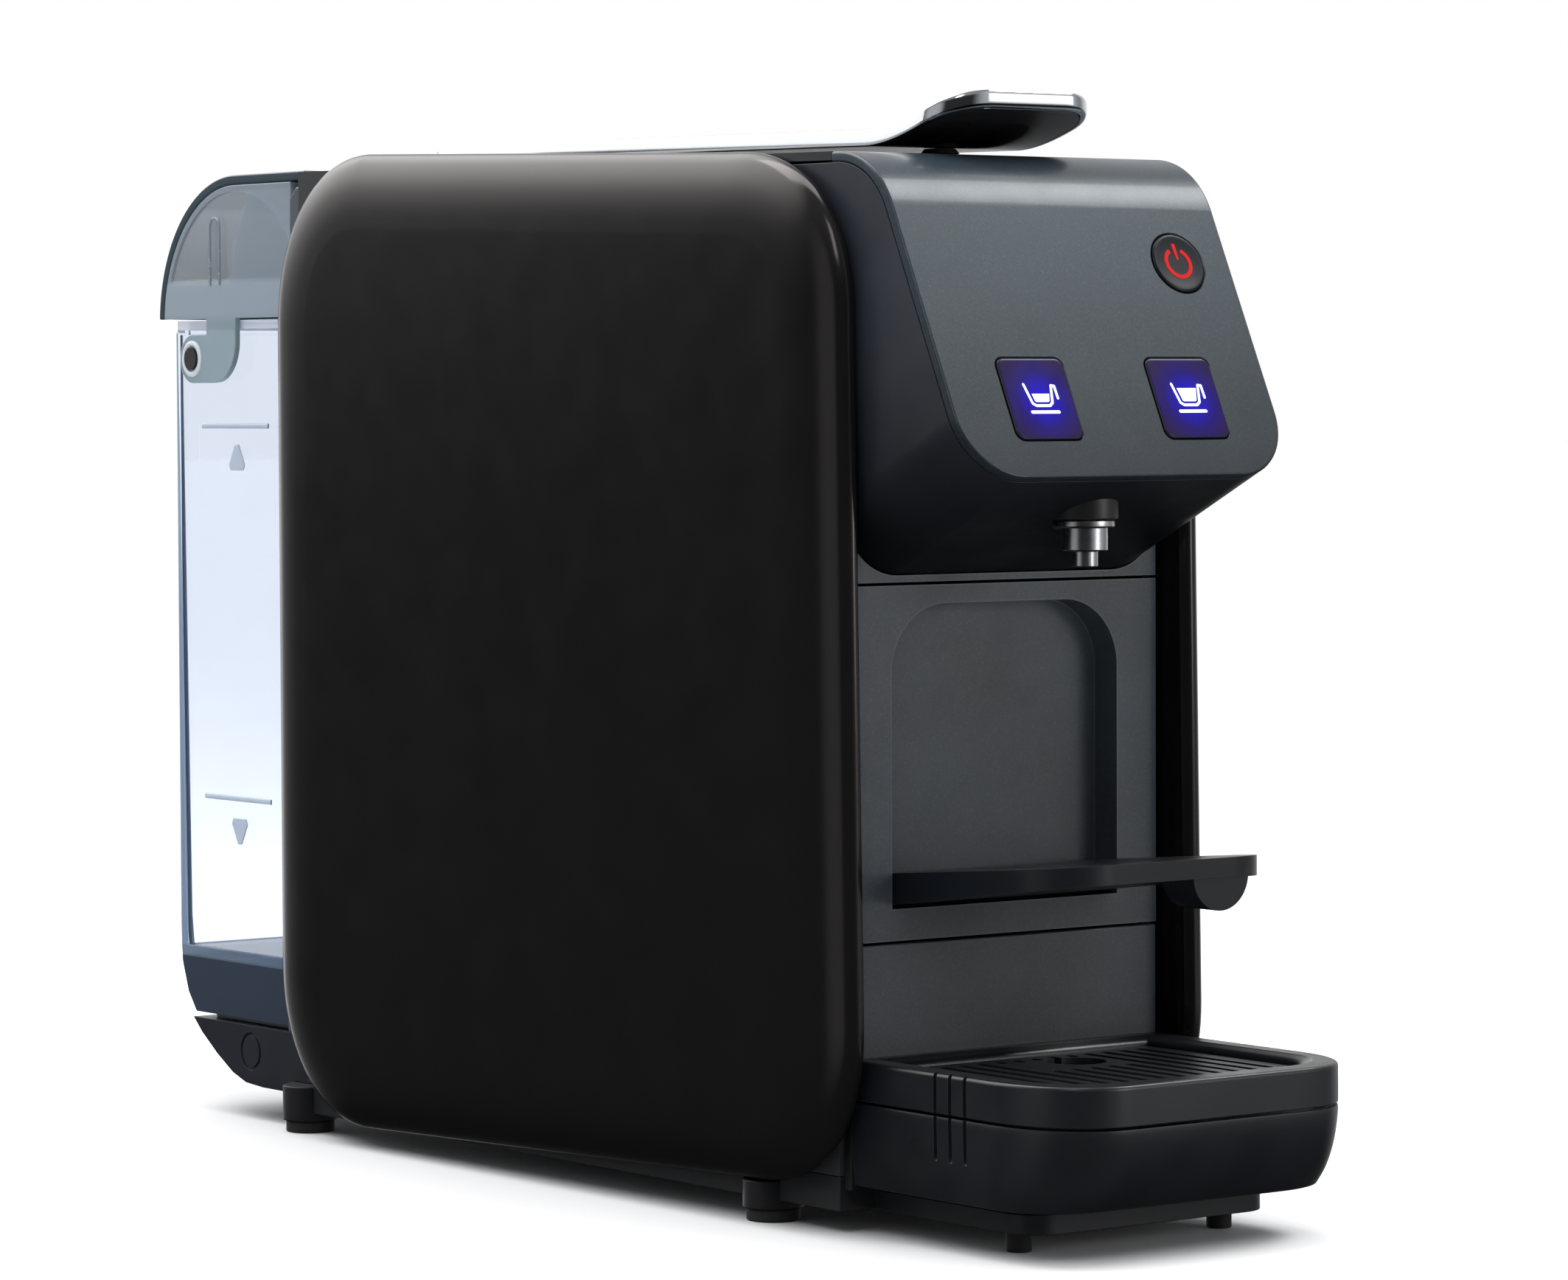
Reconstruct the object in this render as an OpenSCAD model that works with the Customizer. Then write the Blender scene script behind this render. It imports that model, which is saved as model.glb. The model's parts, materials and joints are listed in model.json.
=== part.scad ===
// Pod coffee machine. Millimetres, +Z up, front towards -Y.
// Inside the modules Y is measured from the front wall plane, and placed() moves it into the frame.

/* [Body] */
// Width over both side panels
body_w = 120; // [119:0.5:122]
// Reach of the drip tray ahead of the front wall
tray_reach = 82.5; // [80:0.5:85]
// Reach of the tank lid behind the front wall
rear_reach = 331.8; // [331:0.2:333]
// Thickness of a side panel
panel_t = 8.4; // [8.2:0.1:8.6]
// Wall thickness of the plastic covers
skin = 2.5; // [2.2:0.1:2.6]

/* [Control face] */
// Tilt of the control face from vertical, degrees
face_tilt = 25.3; // [25:0.1:26]
// Length of the control face
face_len = 72.8; // [72:0.2:73.6]
// Side of a brew button
brew_button = 20.6; // [20:0.2:21]
// Diameter of the power button
power_d = 16; // [15:0.5:17]
// Travel of a button
button_travel = 0.8; // [0.6:0.1:1]

/* [Lever and brew unit] */
// Opening angle of the lever, degrees
lever_open = 70; // [60:1:70]
// Radius of the crank under the lever
crank_r = 26; // [25:0.5:26]
// Half width of the lever
lever_half = 25; // [24:0.5:25]
// Diameter of the lever axle
axle_d = 6; // [5:0.5:6]

/* [Tray and shelf] */
// Height of the tray rim
rim_z = 43.7; // [43:0.1:44]
// Number of slots in the drip grille
grille_slots = 13; // [9:2:13]
// Half width of the cup shelf
shelf_half = 35.8; // [35:0.2:36]

/* [Tank] */
// Outer width of the water tank
tank_w = 92; // [90:0.5:92]
// Wall thickness of the water tank
tank_wall = 2.2; // [1.8:0.2:2.4]

/* [Hidden] */
$fn = 64;
wall_y = (tray_reach - rear_reach) / 2;
panel_x = body_w / 2 - panel_t;
core_x = 50.2;
frame_t = 2.5;
door_x = 49.2;
head_x = panel_x - 0.4;
top_z = 266.4;
top_slope = 0.0131;
brow_r = 24;
brow_y = 1.8;
brow_z = top_z - brow_r;
ridge = [brow_y - brow_r * cos(face_tilt), brow_z + brow_r * sin(face_tilt)];
face_r = 17;
seam_top = 160.3;
seam_low = 71.7;
pivot = [222, 266];
crank_a = 270 + lever_open / 2;
stroke = 2 * crank_r * sin(lever_open / 2);
crank = [pivot[0] + crank_r * cos(crank_a), pivot[1] + crank_r * sin(crank_a)];
chamber_z = 219;
shelf_pin_at = [3.9, 84.6];
lid_pin_at = [313.2, 218];
spout_y = -31;
gland_z = 20;
foot_at = [[46.8, 35.5], [46.8, 254.4]];
screw_x = 43.8;
screw_ys = [70, 210];
stem_end = button_travel - 9.2;

// ---------- helpers ----------

module placed() translate([0, wall_y, 0]) children();

module both() {
    children();
    mirror([1, 0, 0]) children();
}

// A (Y, Z) outline carried along X
module along_x(x0, x1) translate([x0, 0, 0]) rotate([90, 0, 90]) linear_extrude(x1 - x0) children();

// An (X, Z) outline carried along Y
module along_y(y0, y1) translate([0, y1, 0]) rotate([90, 0, 0]) linear_extrude(y1 - y0) children();

module block(lo, hi) translate(lo) cube(hi - lo);

module rod_x(d, x0, x1, at) translate([x0, at[0], at[1]]) rotate([0, 90, 0]) cylinder(d = d, h = x1 - x0);

module rod_y(d, y0, y1, x, z) translate([x, y0, z]) rotate([-90, 0, 0]) cylinder(d = d, h = y1 - y0);

module rod_z(d, z0, z1, x, y) translate([x, y, z0]) cylinder(d = d, h = z1 - z0);

// A rectangle with four round corners
module round_rect(w, h, r) {
    square([w - 2 * r, h], center = true);
    square([w, h - 2 * r], center = true);
    for (sx = [-1, 1], sy = [-1, 1]) translate([sx * (w / 2 - r), sy * (h / 2 - r)]) circle(r);
}

// One corner of a soft rectangle: a quarter of a superellipse
function soft_corner(c, r, a0, power, n = 14) = [
    for (i = [0:n]) let (a = a0 + 90 * i / n)
        [c[0] + r[0] * sign(cos(a)) * pow(abs(cos(a)), 2 / power),
         c[1] + r[1] * sign(sin(a)) * pow(abs(sin(a)), 2 / power)]
];

// ---------- side panels ----------

// Outline of a side panel, pulled in by d all round
function panel_outline(d) = concat(
    soft_corner([212, 48.5], [41.6 - d, 42.7 - d], 270, 2.1),
    soft_corner([208, 225], [45.7 - d, 48 - d], 0, 2.15),
    soft_corner([40, 225], [47.5 - d, 42.4 - d], 90, 2.3),
    soft_corner([30, 52], [40.5 - d, 40.5 - d], 180, 2.2)
);

// Each slice of the pillow: distance in from the outline, and share of the thickness
pillow = [[2.2, 0], [0.4, 0.16], [0, 0.34], [0.9, 0.55], [3.2, 0.75], [7.5, 0.9], [13.5, 0.975], [21, 1]];

module side_panel() {
    difference() {
        hull() for (s = pillow) along_x(panel_x + panel_t * s[1] - 0.01, panel_x + panel_t * s[1])
            polygon(panel_outline(s[0]));
        along_x(panel_x - 1, panel_x + panel_t - 3.6) polygon(panel_outline(9));
    }
    for (y = [60, 200], z = [60, 210]) rod_x(8, core_x + 0.05, panel_x + panel_t - 3, [y, z]);
}

module left_panel() color([0.1, 0.1, 0.1]) placed() mirror([1, 0, 0]) side_panel();

module right_panel() color([0.1, 0.1, 0.1]) placed() side_panel();

// ---------- frames, base and covers ----------

module frame_side() {
    along_x(core_x - frame_t, core_x) difference() {
        polygon([[3.6, 14.6], [3.6, seam_top], [50.6, seam_top], [50.6, 258], [249.6, 258], [249.6, 14.6]]);
        translate([90, 110]) round_rect(56, 60, 8);
        translate([180, 110]) round_rect(66, 60, 8);
        translate([150, 228]) round_rect(90, 26, 8);
    }
    // ledges that carry the bin deck and the brew frame
    block([44, 5, 65.6], [core_x - frame_t, 96, 68.6]);
    for (y = [60, 200]) difference() {
        block([41, y, 192.6], [core_x - frame_t, y + 20, 196.6]);
        rod_z(4.2, 190, 200, screw_x, y + 10);
    }
    block([41, 116, 146.4], [core_x - frame_t, 180, 149.4]);
}

module left_frame() color([0.2, 0.21, 0.23]) placed() mirror([1, 0, 0]) frame_side();

module right_frame() color([0.2, 0.21, 0.23]) placed() frame_side();

module base_plate() color([0.06, 0.07, 0.08]) placed() difference() {
    union() {
        block([-core_x, 3.4, 5.8], [core_x, 250.2, 9.2]);
        both() block([core_x - 6, 3.4, 5.8], [core_x, 250.2, 14.4]);
        block([-47.4, 3.4, 5.8], [47.4, 7, 43]);
        // tongue under the drip tray
        along_tongue(5.4, 10.3, 39);
    }
    both() for (at = foot_at) rod_z(16, 0, 60, at[0], at[1]);
    for (y = [70:12:190]) block([-22, y, 0], [22, y + 5, 12]);
}

// Flat plate under the tray, with round front corners
module along_tongue(z0, z1, half) translate([0, 0, z0]) linear_extrude(z1 - z0) {
    translate([-half, -48]) square([2 * half, 58]);
    translate([-half + 9, -57]) square([2 * half - 18, 20]);
    for (sx = [-1, 1]) translate([sx * (half - 9), -48]) circle(9);
}

module lower_wall() color([0.17, 0.19, 0.21]) placed() difference() {
    block([-door_x, 0, 11], [door_x, 3.1, seam_low - 0.35]);
    block([-30, -1, 11], [30, 2, 14]);
}

module upper_wall() color([0.17, 0.19, 0.21]) placed() difference() {
    block([-door_x, 0, seam_top + 0.35], [door_x, 3.1, 186]);
    head_prism(head_x + 0.2, face_len + 0.2, face_r);
}

module bin_deck() color([0.08, 0.09, 0.1]) placed() {
    block([-core_x + frame_t + 0.1, 5, 68.8], [core_x - frame_t - 0.1, 100, 71]);
    both() block([45.6, 5, 71], [core_x - frame_t - 0.1, 100, 79]);
    block([-47, 97.5, 71], [47, 100, 120]);
}

module rear_base_outline() polygon([
    [251, 27], [317.7, 27], [313, 22.9], [304.5, 17.3], [296, 12.7], [288.7, 10.4], [279.5, 9.8], [251, 9.8]
]);

module rear_base() color([0.08, 0.1, 0.12]) placed() difference() {
    along_x(-47, 47) rear_base_outline();
    along_x(-44.5, 44.5) intersection() {
        translate([0, 2.4]) rear_base_outline();
        translate([253.6, 0]) square([48, 24.8]);
    }
    rod_y(8, 250, 256, 14, 16);
    rod_z(10, 20, 30, 0, 284);
    both() rod_z(16, 0, 13.4, foot_at[1][0], foot_at[1][1]);
    // shallow round mark on both sides, and the hole for the cord gland
    both() difference() {
        rod_x(11, 46.4, 50, [286, 19.6]);
        rod_x(9, 46, 51, [286, 19.6]);
    }
    rod_y(7.7, 290, 330, 26, gland_z);
}

module cord_gland() color("black") placed() difference() {
    union() {
        rod_y(7.6, 296, 311, 26, gland_z);
        rod_y(9, 293, 296, 26, gland_z);
    }
    rod_y(5.4, 280, 330, 26, gland_z);
}

module tank_plinth() color([0.2, 0.24, 0.28]) placed() difference() {
    translate([0, 0, 27.2]) linear_extrude(14.8) translate([0, 290.85]) round_rect(86, 48.3, 5);
    translate([0, 0, 26]) linear_extrude(13.6) translate([0, 290.85]) round_rect(81, 43.3, 3);
    rod_z(18.2, 20, 60, 0, 284);
}

module back_cover() color([0.13, 0.14, 0.16]) placed() difference() {
    along_x(-49.4, 49.4) polygon([[250.4, 27.4], [262, 27.4], [262, 226], [258, 230], [258, 262.5],
                                  [254.5, 265.8], [250.4, 265.8]]);
    along_x(-46.9, 46.9) polygon([[249, 30], [259.5, 30], [259.5, 225], [255.5, 229], [255.5, 263], [249, 263]]);
}

module top_skin_outline(drop) polygon([
    [4.2, top_z + 4.2 * top_slope - drop], [250, top_z + 250 * top_slope - drop],
    [250, 240], [4.2, 240]
]);

module top_cover() color([0.08, 0.09, 0.1]) placed() difference() {
    along_x(-head_x, head_x) top_skin_outline(0);
    along_x(-head_x - 1, head_x + 1) intersection() {
        top_skin_outline(2.2);
        square([50.8, 400]);
    }
    along_x(-core_x + 1.2, core_x - 1.2) top_skin_outline(2.2);
    block([-60, 0, 200], [60, 260, 258.4]);
    // capsule inlet and hinge pocket
    translate([0, 24.3, 200]) linear_extrude(100) round_rect(38.4, 31.4, 4);
    translate([0, 225, 200]) linear_extrude(100) round_rect(53, 24, 4);
}

// ---------- head ----------

// Children stand on the control face: x across, y up the face, z out of it
module on_face() translate([0, ridge[0], ridge[1]]) rotate([90 - face_tilt, 0, 0]) children();

module head_prism(half, len, r) on_face() translate([0, 0, -150]) linear_extrude(152) {
    translate([-half, r - len]) square([2 * half, 60 + len - r]);
    translate([-half + r, -len]) square([2 * half - 2 * r, len]);
    for (sx = [-1, 1]) translate([sx * (half - r), r - len]) circle(r);
}

// Side view of the head, with top and face pulled in by d and the underside open
module head_side(d) {
    r = brow_r - d;
    brow = [for (i = [0:24]) let (a = 90 + (90 - face_tilt) * i / 24) [brow_y + r * cos(a), brow_z + r * sin(a)]];
    down = [-sin(face_tilt), -cos(face_tilt)];
    polygon(concat(brow, [brow[24] + 140 * down, [50.2, 120], [50.2, brow_z + r]]));
}

module head_limits() difference() {
    translate([-80, 100]) square([130.2, 200]);
    translate([0, 0]) square([60, seam_top + 2.4]);
}

module head_shell() color([0.09, 0.1, 0.11]) placed() difference() {
    intersection() {
        head_prism(head_x, face_len, face_r);
        along_x(-60, 60) intersection() {
            head_side(skin + 0.12);
            head_limits();
        }
    }
    head_prism(head_x - skin, face_len - skin, face_r - skin);
    rod_z(16.6, 150, 200, 0, spout_y);
}

module front_cover() color([0.2, 0.22, 0.24]) placed() difference() {
    intersection() {
        head_prism(head_x, face_len, face_r);
        along_x(-60, 60) difference() {
            intersection() {
                head_side(0);
                translate([-80, 100]) square([84, 200]);
            }
            head_side(skin);
        }
    }
    on_face() {
        for (sx = [-1, 1]) translate([sx * 23.45, -51.85, -9])
            linear_extrude(20) round_rect(brew_button + 0.6, brew_button + 1.6, 2.6);
        translate([34.3, -14.7, -9]) cylinder(d = power_d + 0.6, h = 20);
    }
}

module outlet_collar() color("black") placed() difference() {
    rod_z(16.4, 176.2, 183.6, 0, spout_y);
    rod_z(11.4, 170, 190, 0, spout_y);
}

module coffee_spout() color("silver") placed() difference() {
    union() {
        rod_z(14.6, 174.3, 176, 0, spout_y);
        rod_z(11.2, 168.5, 183.4, 0, spout_y);
        rod_z(6.3, 164.5, 168.6, 0, spout_y);
    }
    rod_z(4, 160, 190, 0, spout_y);
    rod_z(8, 176.5, 190, 0, spout_y);
}

// ---------- buttons ----------

module brew_cap() {
    translate([0, 0, -3.5]) linear_extrude(3.8) round_rect(brew_button, brew_button + 1, 2.3);
    translate([0, 0, -4.4]) linear_extrude(1) round_rect(brew_button + 3, brew_button + 4, 2.3);
    translate([0, 0, stem_end]) cylinder(d = 6, h = -4.2 - stem_end);
}

module right_brew_button() color([0.1, 0.06, 0.6]) placed() on_face() translate([23.45, -51.85, 0]) brew_cap();

module left_brew_button() color([0.1, 0.06, 0.6]) placed() on_face() translate([-23.45, -51.85, 0]) brew_cap();

module power_button() color([0.05, 0.05, 0.06]) placed() on_face() translate([34.3, -14.7, 0]) {
    translate([0, 0, -3.5]) cylinder(d = power_d, h = 3.8);
    translate([0, 0, -4.4]) cylinder(d = power_d + 3, h = 1);
    translate([0, 0, stem_end]) cylinder(d = 6, h = -4.2 - stem_end);
}

module button_board() color("darkgreen") placed() on_face() {
    translate([0, -34.5, -12.4]) linear_extrude(1.6) round_rect(88, 51, 3);
    for (at = [[-23.45, -51.85], [23.45, -51.85], [34.3, -14.7]]) translate([at[0], at[1], -10.8]) {
        translate([-3, -3, 0]) cube([6, 6, 1.2]);
        for (sx = [-1, 1]) translate([sx * 7, 0, 0]) cylinder(d = 3, h = 2);
    }
    translate([-20, -16, -10.8]) cube([26, 5, 5]);
}

// ---------- lever ----------

// Top line of the lever: level behind, rising to the finger lip in front
lip_start = 25;
lip_end = -10.5;
lip_rise = 9;
function lever_top(y) = let (t = max(0, (lip_start - y) / (lip_start - lip_end)))
    273.4 + max(0, y - lip_start) * 0.015 + lip_rise * t * t * (1.6 - 0.6 * t);

lever_ys = concat([for (i = [0:16]) lip_end + (lip_start - lip_end) * i / 16], [230]);

// Side view of the lever between two depths below its top
module lever_band(d0, d1) polygon(concat(
    [for (y = lever_ys) [y, lever_top(y) - d0]],
    [for (i = [len(lever_ys) - 1:-1:0]) [lever_ys[i], lever_top(lever_ys[i]) - d1]]
));

// Plan of the lever pulled in by d
module lever_plan(d) {
    half = lever_half - d;
    r = 13.5 - d;
    translate([-half, lip_end + d + r]) square([2 * half, 230 - lip_end - 2 * d - 2 * r]);
    translate([-half + r, lip_end + d]) square([2 * half - 2 * r, 230 - lip_end - 2 * d]);
    for (sx = [-1, 1], y = [lip_end + d + r, 230 - d - r]) translate([sx * (half - r), y]) circle(r);
}

module lever_sheet(d0, d1, inset) intersection() {
    along_x(-40, 40) lever_band(d0, d1);
    translate([0, 0, 200]) linear_extrude(120) lever_plan(inset);
}

module lever_skin() color([0.8, 0.82, 0.84]) placed() difference() {
    lever_sheet(0, 4.4, 0);
    lever_sheet(1.9, 6, 1.7);
}

module lever_carrier() color([0.05, 0.05, 0.06]) placed() difference() {
    union() {
        lever_sheet(2.05, 4.4, 1.9);
        both() along_x(15.4, 19.2) {
            translate(pivot) circle(6);
            translate(crank) circle(5);
            translate(pivot) rotate(crank_a) translate([0, -4.2]) square([crank_r, 8.4]);
            translate([pivot[0] - 5.2, pivot[1]]) square([10.4, 6.4]);
        }
    }
    rod_x(axle_d + 0.1, -30, 30, pivot);
    rod_x(5.1, -30, 30, crank);
}

module lever_axle() color("silver") placed() rod_x(axle_d, -25.4, 25.4, pivot);

module crank_pin() color("silver") placed() rod_x(5, -21.4, 21.4, crank);

module lever_bumper() color("black") placed() translate([0, 26, 267.7]) cylinder(d1 = 10, d2 = 8, h = 1.2);

// ---------- brew unit ----------

module brew_frame() color("silver") placed() difference() {
    union() {
        both() along_x(22, 25) {
            translate([-5, 200]) square([251, 54]);
            translate([pivot[0] - 5.4, 240]) square([10.8, pivot[1] - 240]);
            translate(pivot) circle(5.4);
        }
        block([-23, -5, 206], [23, -2.4, 236]);
        block([-23, 226, 203], [23, 242, 213]);
        both() for (y = [60, 200]) block([24, y, 196.8], [47, y + 20, 201]);
    }
    rod_x(axle_d + 0.1, -30, 30, pivot);
    // guide slots for the carriage pins
    both() for (y = [60, 180]) along_x(20, 27) {
        translate([y - stroke, 244 - 2.6]) square([stroke, 5.2]);
        for (e = [y - stroke, y]) translate([e, 244]) circle(2.6);
    }
    both() for (y = screw_ys) rod_z(4.2, 190, 205, screw_x, y);
    both() along_x(20, 27) translate([130, 222]) round_rect(60, 22, 6);
}

module brew_chamber() color("gray") placed() difference() {
    union() {
        rod_y(40, 40.2, 72, 0, chamber_z);
        block([-21.9, 62, 203], [21.9, 84, 236]);
    }
    rod_y(30.6, 39, 66, 0, chamber_z);
    rod_y(35, 39, 43, 0, chamber_z);
    rod_y(5, 60, 90, 0, chamber_z);
}

module chamber_seal() color("black") placed() translate([0, 41.6, chamber_z]) rotate([-90, 0, 0])
    difference() {
        cylinder(d = 34.8, h = 1.3);
        translate([0, 0, -1]) cylinder(d = 31.4, h = 4);
    }

module injection_needles() color("silver") placed() for (a = [90, 210, 330])
    translate([7 * cos(a), 0, chamber_z + 7 * sin(a)]) {
        rod_y(3.6, 62.5, 66, 0, 0);
        translate([0, 62.6, 0]) rotate([90, 0, 0]) cylinder(d1 = 2.6, d2 = 0.4, h = 5, $fn = 24);
    }

module clamp_carriage() color([0.14, 0.15, 0.17]) placed() difference() {
    union() {
        block([-21.6, 31, 197], [21.6, 37.5, 250.6]);
        both() block([19.6, 31, 240], [21.6, 240, 248]);
        both() block([19.6, 229, 233.4], [21.6, 244, 251]);
        block([-8, 4, 197], [8, 32, 204]);
    }
    both() translate([0, crank[0], 0]) along_x(18, 23) crank_slot();
    block([-5.5, 2.8, 199.2], [5.5, 33, 206]);
    rod_y(5, 30, 40, 0, 203.5);
    both() for (y = [60, 180]) rod_x(3.1, 18, 23, [y, 244]);
}

// Upright slot in which the crank pin rises and falls
module crank_slot() {
    low = pivot[1] - crank_r;
    high = crank[1];
    translate([-3.05, low]) square([6.1, high - low]);
    for (z = [low, high]) translate([0, z]) circle(3.05);
}

module outlet_plate() color("silver") placed() {
    rod_y(35, 37.6, 38.9, 0, chamber_z);
    for (i = [-2:2], k = [-2:2]) if (abs(i) + abs(k) < 4) translate([i * 5, 38.9, chamber_z + k * 5])
        rotate([-90, 0, 0]) cylinder(d1 = 3, d2 = 1.4, h = 0.9, $fn = 4);
}

module guide_pins() color("silver") placed() both() for (y = [60, 180]) {
    rod_x(3, 19.7, 21.7, [y, 244]);
    rod_x(5, 21.7, 24.8, [y, 244]);
}

module coffee_funnel() color([0.1, 0.1, 0.11]) placed() difference() {
    union() {
        along_x(-12, 12) polygon([[-38, 192.4], [8.5, 192.4], [8.5, 187.5], [-26, 184.2], [-38, 184.2]]);
        rod_z(7.8, 176.9, 185, 0, spout_y);
    }
    along_x(-10.4, 10.4) polygon([[-36.6, 196], [7.1, 196], [7.1, 189.2], [-26, 186], [-36.6, 186]]);
    rod_z(4.4, 170, 190, 0, spout_y);
}

module capsule_chute() color([0.12, 0.12, 0.13]) placed() difference() {
    block([-22, 9, 161.2], [22, 45.6, 196]);
    block([-20.4, 10.4, 160], [20.4, 44.1, 197]);
}

// ---------- capsule bin and cup shelf ----------

// Pocket for the folded shelf, pulled out by d
module recess_outline(d) {
    half = 36.2 + d;
    translate([-half, 80 - d]) square([2 * half, 58 + d]);
    translate([-half + 17, 80 - d]) square([2 * half - 34, 75.2 + 2 * d]);
    for (sx = [-1, 1]) translate([sx * (half - 17), 138.2 + d]) circle(17);
}

module bin_door() color([0.17, 0.19, 0.21]) placed() difference() {
    union() {
        block([-door_x, 0, seam_low + 0.35], [door_x, 3.1, seam_top - 0.35]);
        along_y(0, 10.6) recess_outline(1.9);
    }
    along_y(-1, 8.8) recess_outline(0);
    rod_x(3.1, -38.1, 38.1, shelf_pin_at);
}

module capsule_bin() color([0.1, 0.1, 0.11]) placed() difference() {
    block([-45, 10.8, 72], [45, 95, 148]);
    block([-43, 12.6, 74], [43, 93.2, 150]);
}

// Side view of the shelf, tapering to the front and rising a little
shelf_front = -64.5;
module shelf_side() {
    translate(shelf_pin_at) circle(4);
    polygon([[3.9, 88.6], [shelf_front, 94.2], [shelf_front, 89.4], [3.9, 80.6]]);
}

module shelf_plan() {
    r = 17;
    translate([-shelf_half, shelf_front + r]) square([2 * shelf_half, 30 - shelf_front]);
    translate([-shelf_half + r, shelf_front]) square([2 * shelf_half - 2 * r, r + 2]);
    for (sx = [-1, 1]) translate([sx * (shelf_half - r), shelf_front + r]) circle(r);
}

module cup_shelf() color([0.05, 0.06, 0.07]) placed() difference() {
    union() {
        intersection() {
            along_x(-40, 40) shelf_side();
            translate([0, 0, 60]) linear_extrude(60) shelf_plan();
        }
        // finger lug under the front edge
        intersection() {
            along_y(-64, -50) translate([15.3, 90]) circle(8.8);
            block([0, -64, 75], [30, -52, 91]);
        }
    }
    for (x = [-24:6:24]) block([x - 0.8, -50, 88], [x + 0.8, -10, 120]);
    rod_x(3.1, -50, 50, shelf_pin_at);
}

module shelf_pin() color("silver") placed() rod_x(3, -38, 38, shelf_pin_at);

// ---------- drip tray ----------

// Plan of the tray pulled in by d in front and by side at each side, open towards the wall
function tray_outline(d, side) = concat(
    [[-49.5 + side, -0.4]],
    soft_corner([-27, -52], [22.5 - side, 29 - d], 180, 2.3),
    soft_corner([27, -52], [22.5 - side, 29 - d], 270, 2.3),
    [[49.5 - side, -0.4]]
);

module tray_slice(d, side, z) translate([0, 0, z]) linear_extrude(0.01) polygon(tray_outline(d, side));

tray_front = tray_reach - 81;
skirt = [[0, 33.2], [0.4, 29.5], [1.5, 25], [3.4, 20.5], [6, 16.5], [9.6, 12.8]];

module tray_bowl() color([0.05, 0.06, 0.07]) placed() difference() {
    translate([0, -tray_front, 0]) hull() {
        for (s = skirt) tray_slice(s[0], s[0] / 10, s[1]);
        translate([0, tray_front, 0]) for (s = skirt) tray_slice(s[0], s[0] / 10, s[1]);
    }
    difference() {
        hull() {
            tray_slice(2.4, 2.4, 34);
            tray_slice(3.6, 2.6, 26);
            tray_slice(8.6, 3.6, 17.5);
        }
        block([-60, -2.8, 0], [60, 5, 60]);
    }
    tray_grooves();
}

// Three upright finger grooves on each side
module tray_grooves() both() for (y = [-33.5, -39.2, -44.9]) hull() {
    rod_z(1.6, 33, 60, 49.2, y);
    rod_z(1.6, 22.8, 24, 49, y);
}

module tray_frame() color([0.05, 0.06, 0.07]) placed() difference() {
    translate([0, 0, 33.8]) linear_extrude(rim_z - 33.8) {
        polygon(tray_outline(0, 0));
        translate([0, -tray_front]) polygon(tray_outline(0, 0));
    }
    hull() {
        translate([0, 0, rim_z - 2.5]) linear_extrude(0.01) grille_plan(0);
        translate([0, 0, rim_z]) linear_extrude(0.01) grille_plan(-2.8);
    }
    translate([0, 0, rim_z - 5.2]) linear_extrude(3) grille_plan(0);
    translate([0, 0, 30]) linear_extrude(20) grille_plan(2.6);
    tray_grooves();
}

// Opening of the grille pulled in by d
module grille_plan(d) {
    r = 15 - d;
    half = 41 - d;
    y0 = -73.5 + d;
    y1 = -6 - d;
    translate([-half, y0 + r]) square([2 * half, y1 - y0 - r]);
    translate([-half + r, y0]) square([2 * half - 2 * r, r + 1]);
    for (sx = [-1, 1]) translate([sx * (half - r), y0 + r]) circle(r);
}

module drip_grille() color([0.04, 0.05, 0.06]) placed() difference() {
    translate([0, 0, rim_z - 5]) linear_extrude(2.5) grille_plan(0.35);
    span = (grille_slots - 1) / 2;
    for (i = [-span:span]) translate([i * 5.8, 0, 30]) linear_extrude(20) {
        for (y = abs(i) < 2.5 ? [[-10.5, -12.5], [-33.5, -70]] : [[-10.5, -67 + 4 * max(0, abs(i) - 4)]]) {
            translate([-1.3, y[1]]) square([2.6, y[0] - y[1]]);
            for (e = y) translate([0, e]) circle(1.3);
        }
    }
    translate([5.8, -20.5, 30]) cylinder(d = 15, h = 20);
}

// ---------- water tank ----------

module tank_side(d) polygon([
    [264 + d, 28.5 + d], [317.6 - d, 28.5 + d], [322 - d, 34 + d], [325.4 - d, 43], [327 - d, 56],
    [328 - d, 108], [330 - d, 225.6], [325 - d, 225.6], [325 - d, 229], [264 + d, 229]
]);

module tank_solid(d, side) intersection() {
    along_x(-60, 60) tank_side(side);
    translate([0, 0, 10]) linear_extrude(230) translate([0, 297.2])
        round_rect(tank_w - 2 * d, 66.4 - 2 * d, 6 - d);
}

module water_tank() color([0.8, 0.88, 0.95, 0.4]) placed() {
    difference() {
        tank_solid(0, 0);
        // water space above the floor, open at the top
        intersection() {
            tank_solid(tank_wall, tank_wall);
            block([-60, 250, 47.4], [60, 330, 225]);
        }
        translate([0, 0, 224]) linear_extrude(10) translate([0, 295])
            round_rect(tank_w - 2 * tank_wall, 57.4, 4);
        // space of the plinth below the floor
        intersection() {
            tank_solid(tank_wall, tank_wall);
            block([-60, 250, 10], [60, 340, 44.6]);
        }
        translate([0, 0, 28]) linear_extrude(4) translate([0, 290.8])
            round_rect(tank_w - 2 * tank_wall, 49.2, 4);
        rod_z(10.4, 40, 60, 0, 284);
        both() rod_x(4.7, tank_w / 2 - 1, 60, lid_pin_at);
    }
    // level marks on both sides
    both() for (z = [91, 198]) block([tank_w / 2 - 0.2, 275, z], [tank_w / 2 + 0.25, 311, z + 1.4]);
}

module lid_pins() color("black") placed() both() {
    rod_x(4.6, tank_w / 2 - 1, tank_w / 2 + 2.3, lid_pin_at);
    rod_x(6.4, tank_w / 2 + 2.3, tank_w / 2 + 3.1, lid_pin_at);
}

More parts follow.
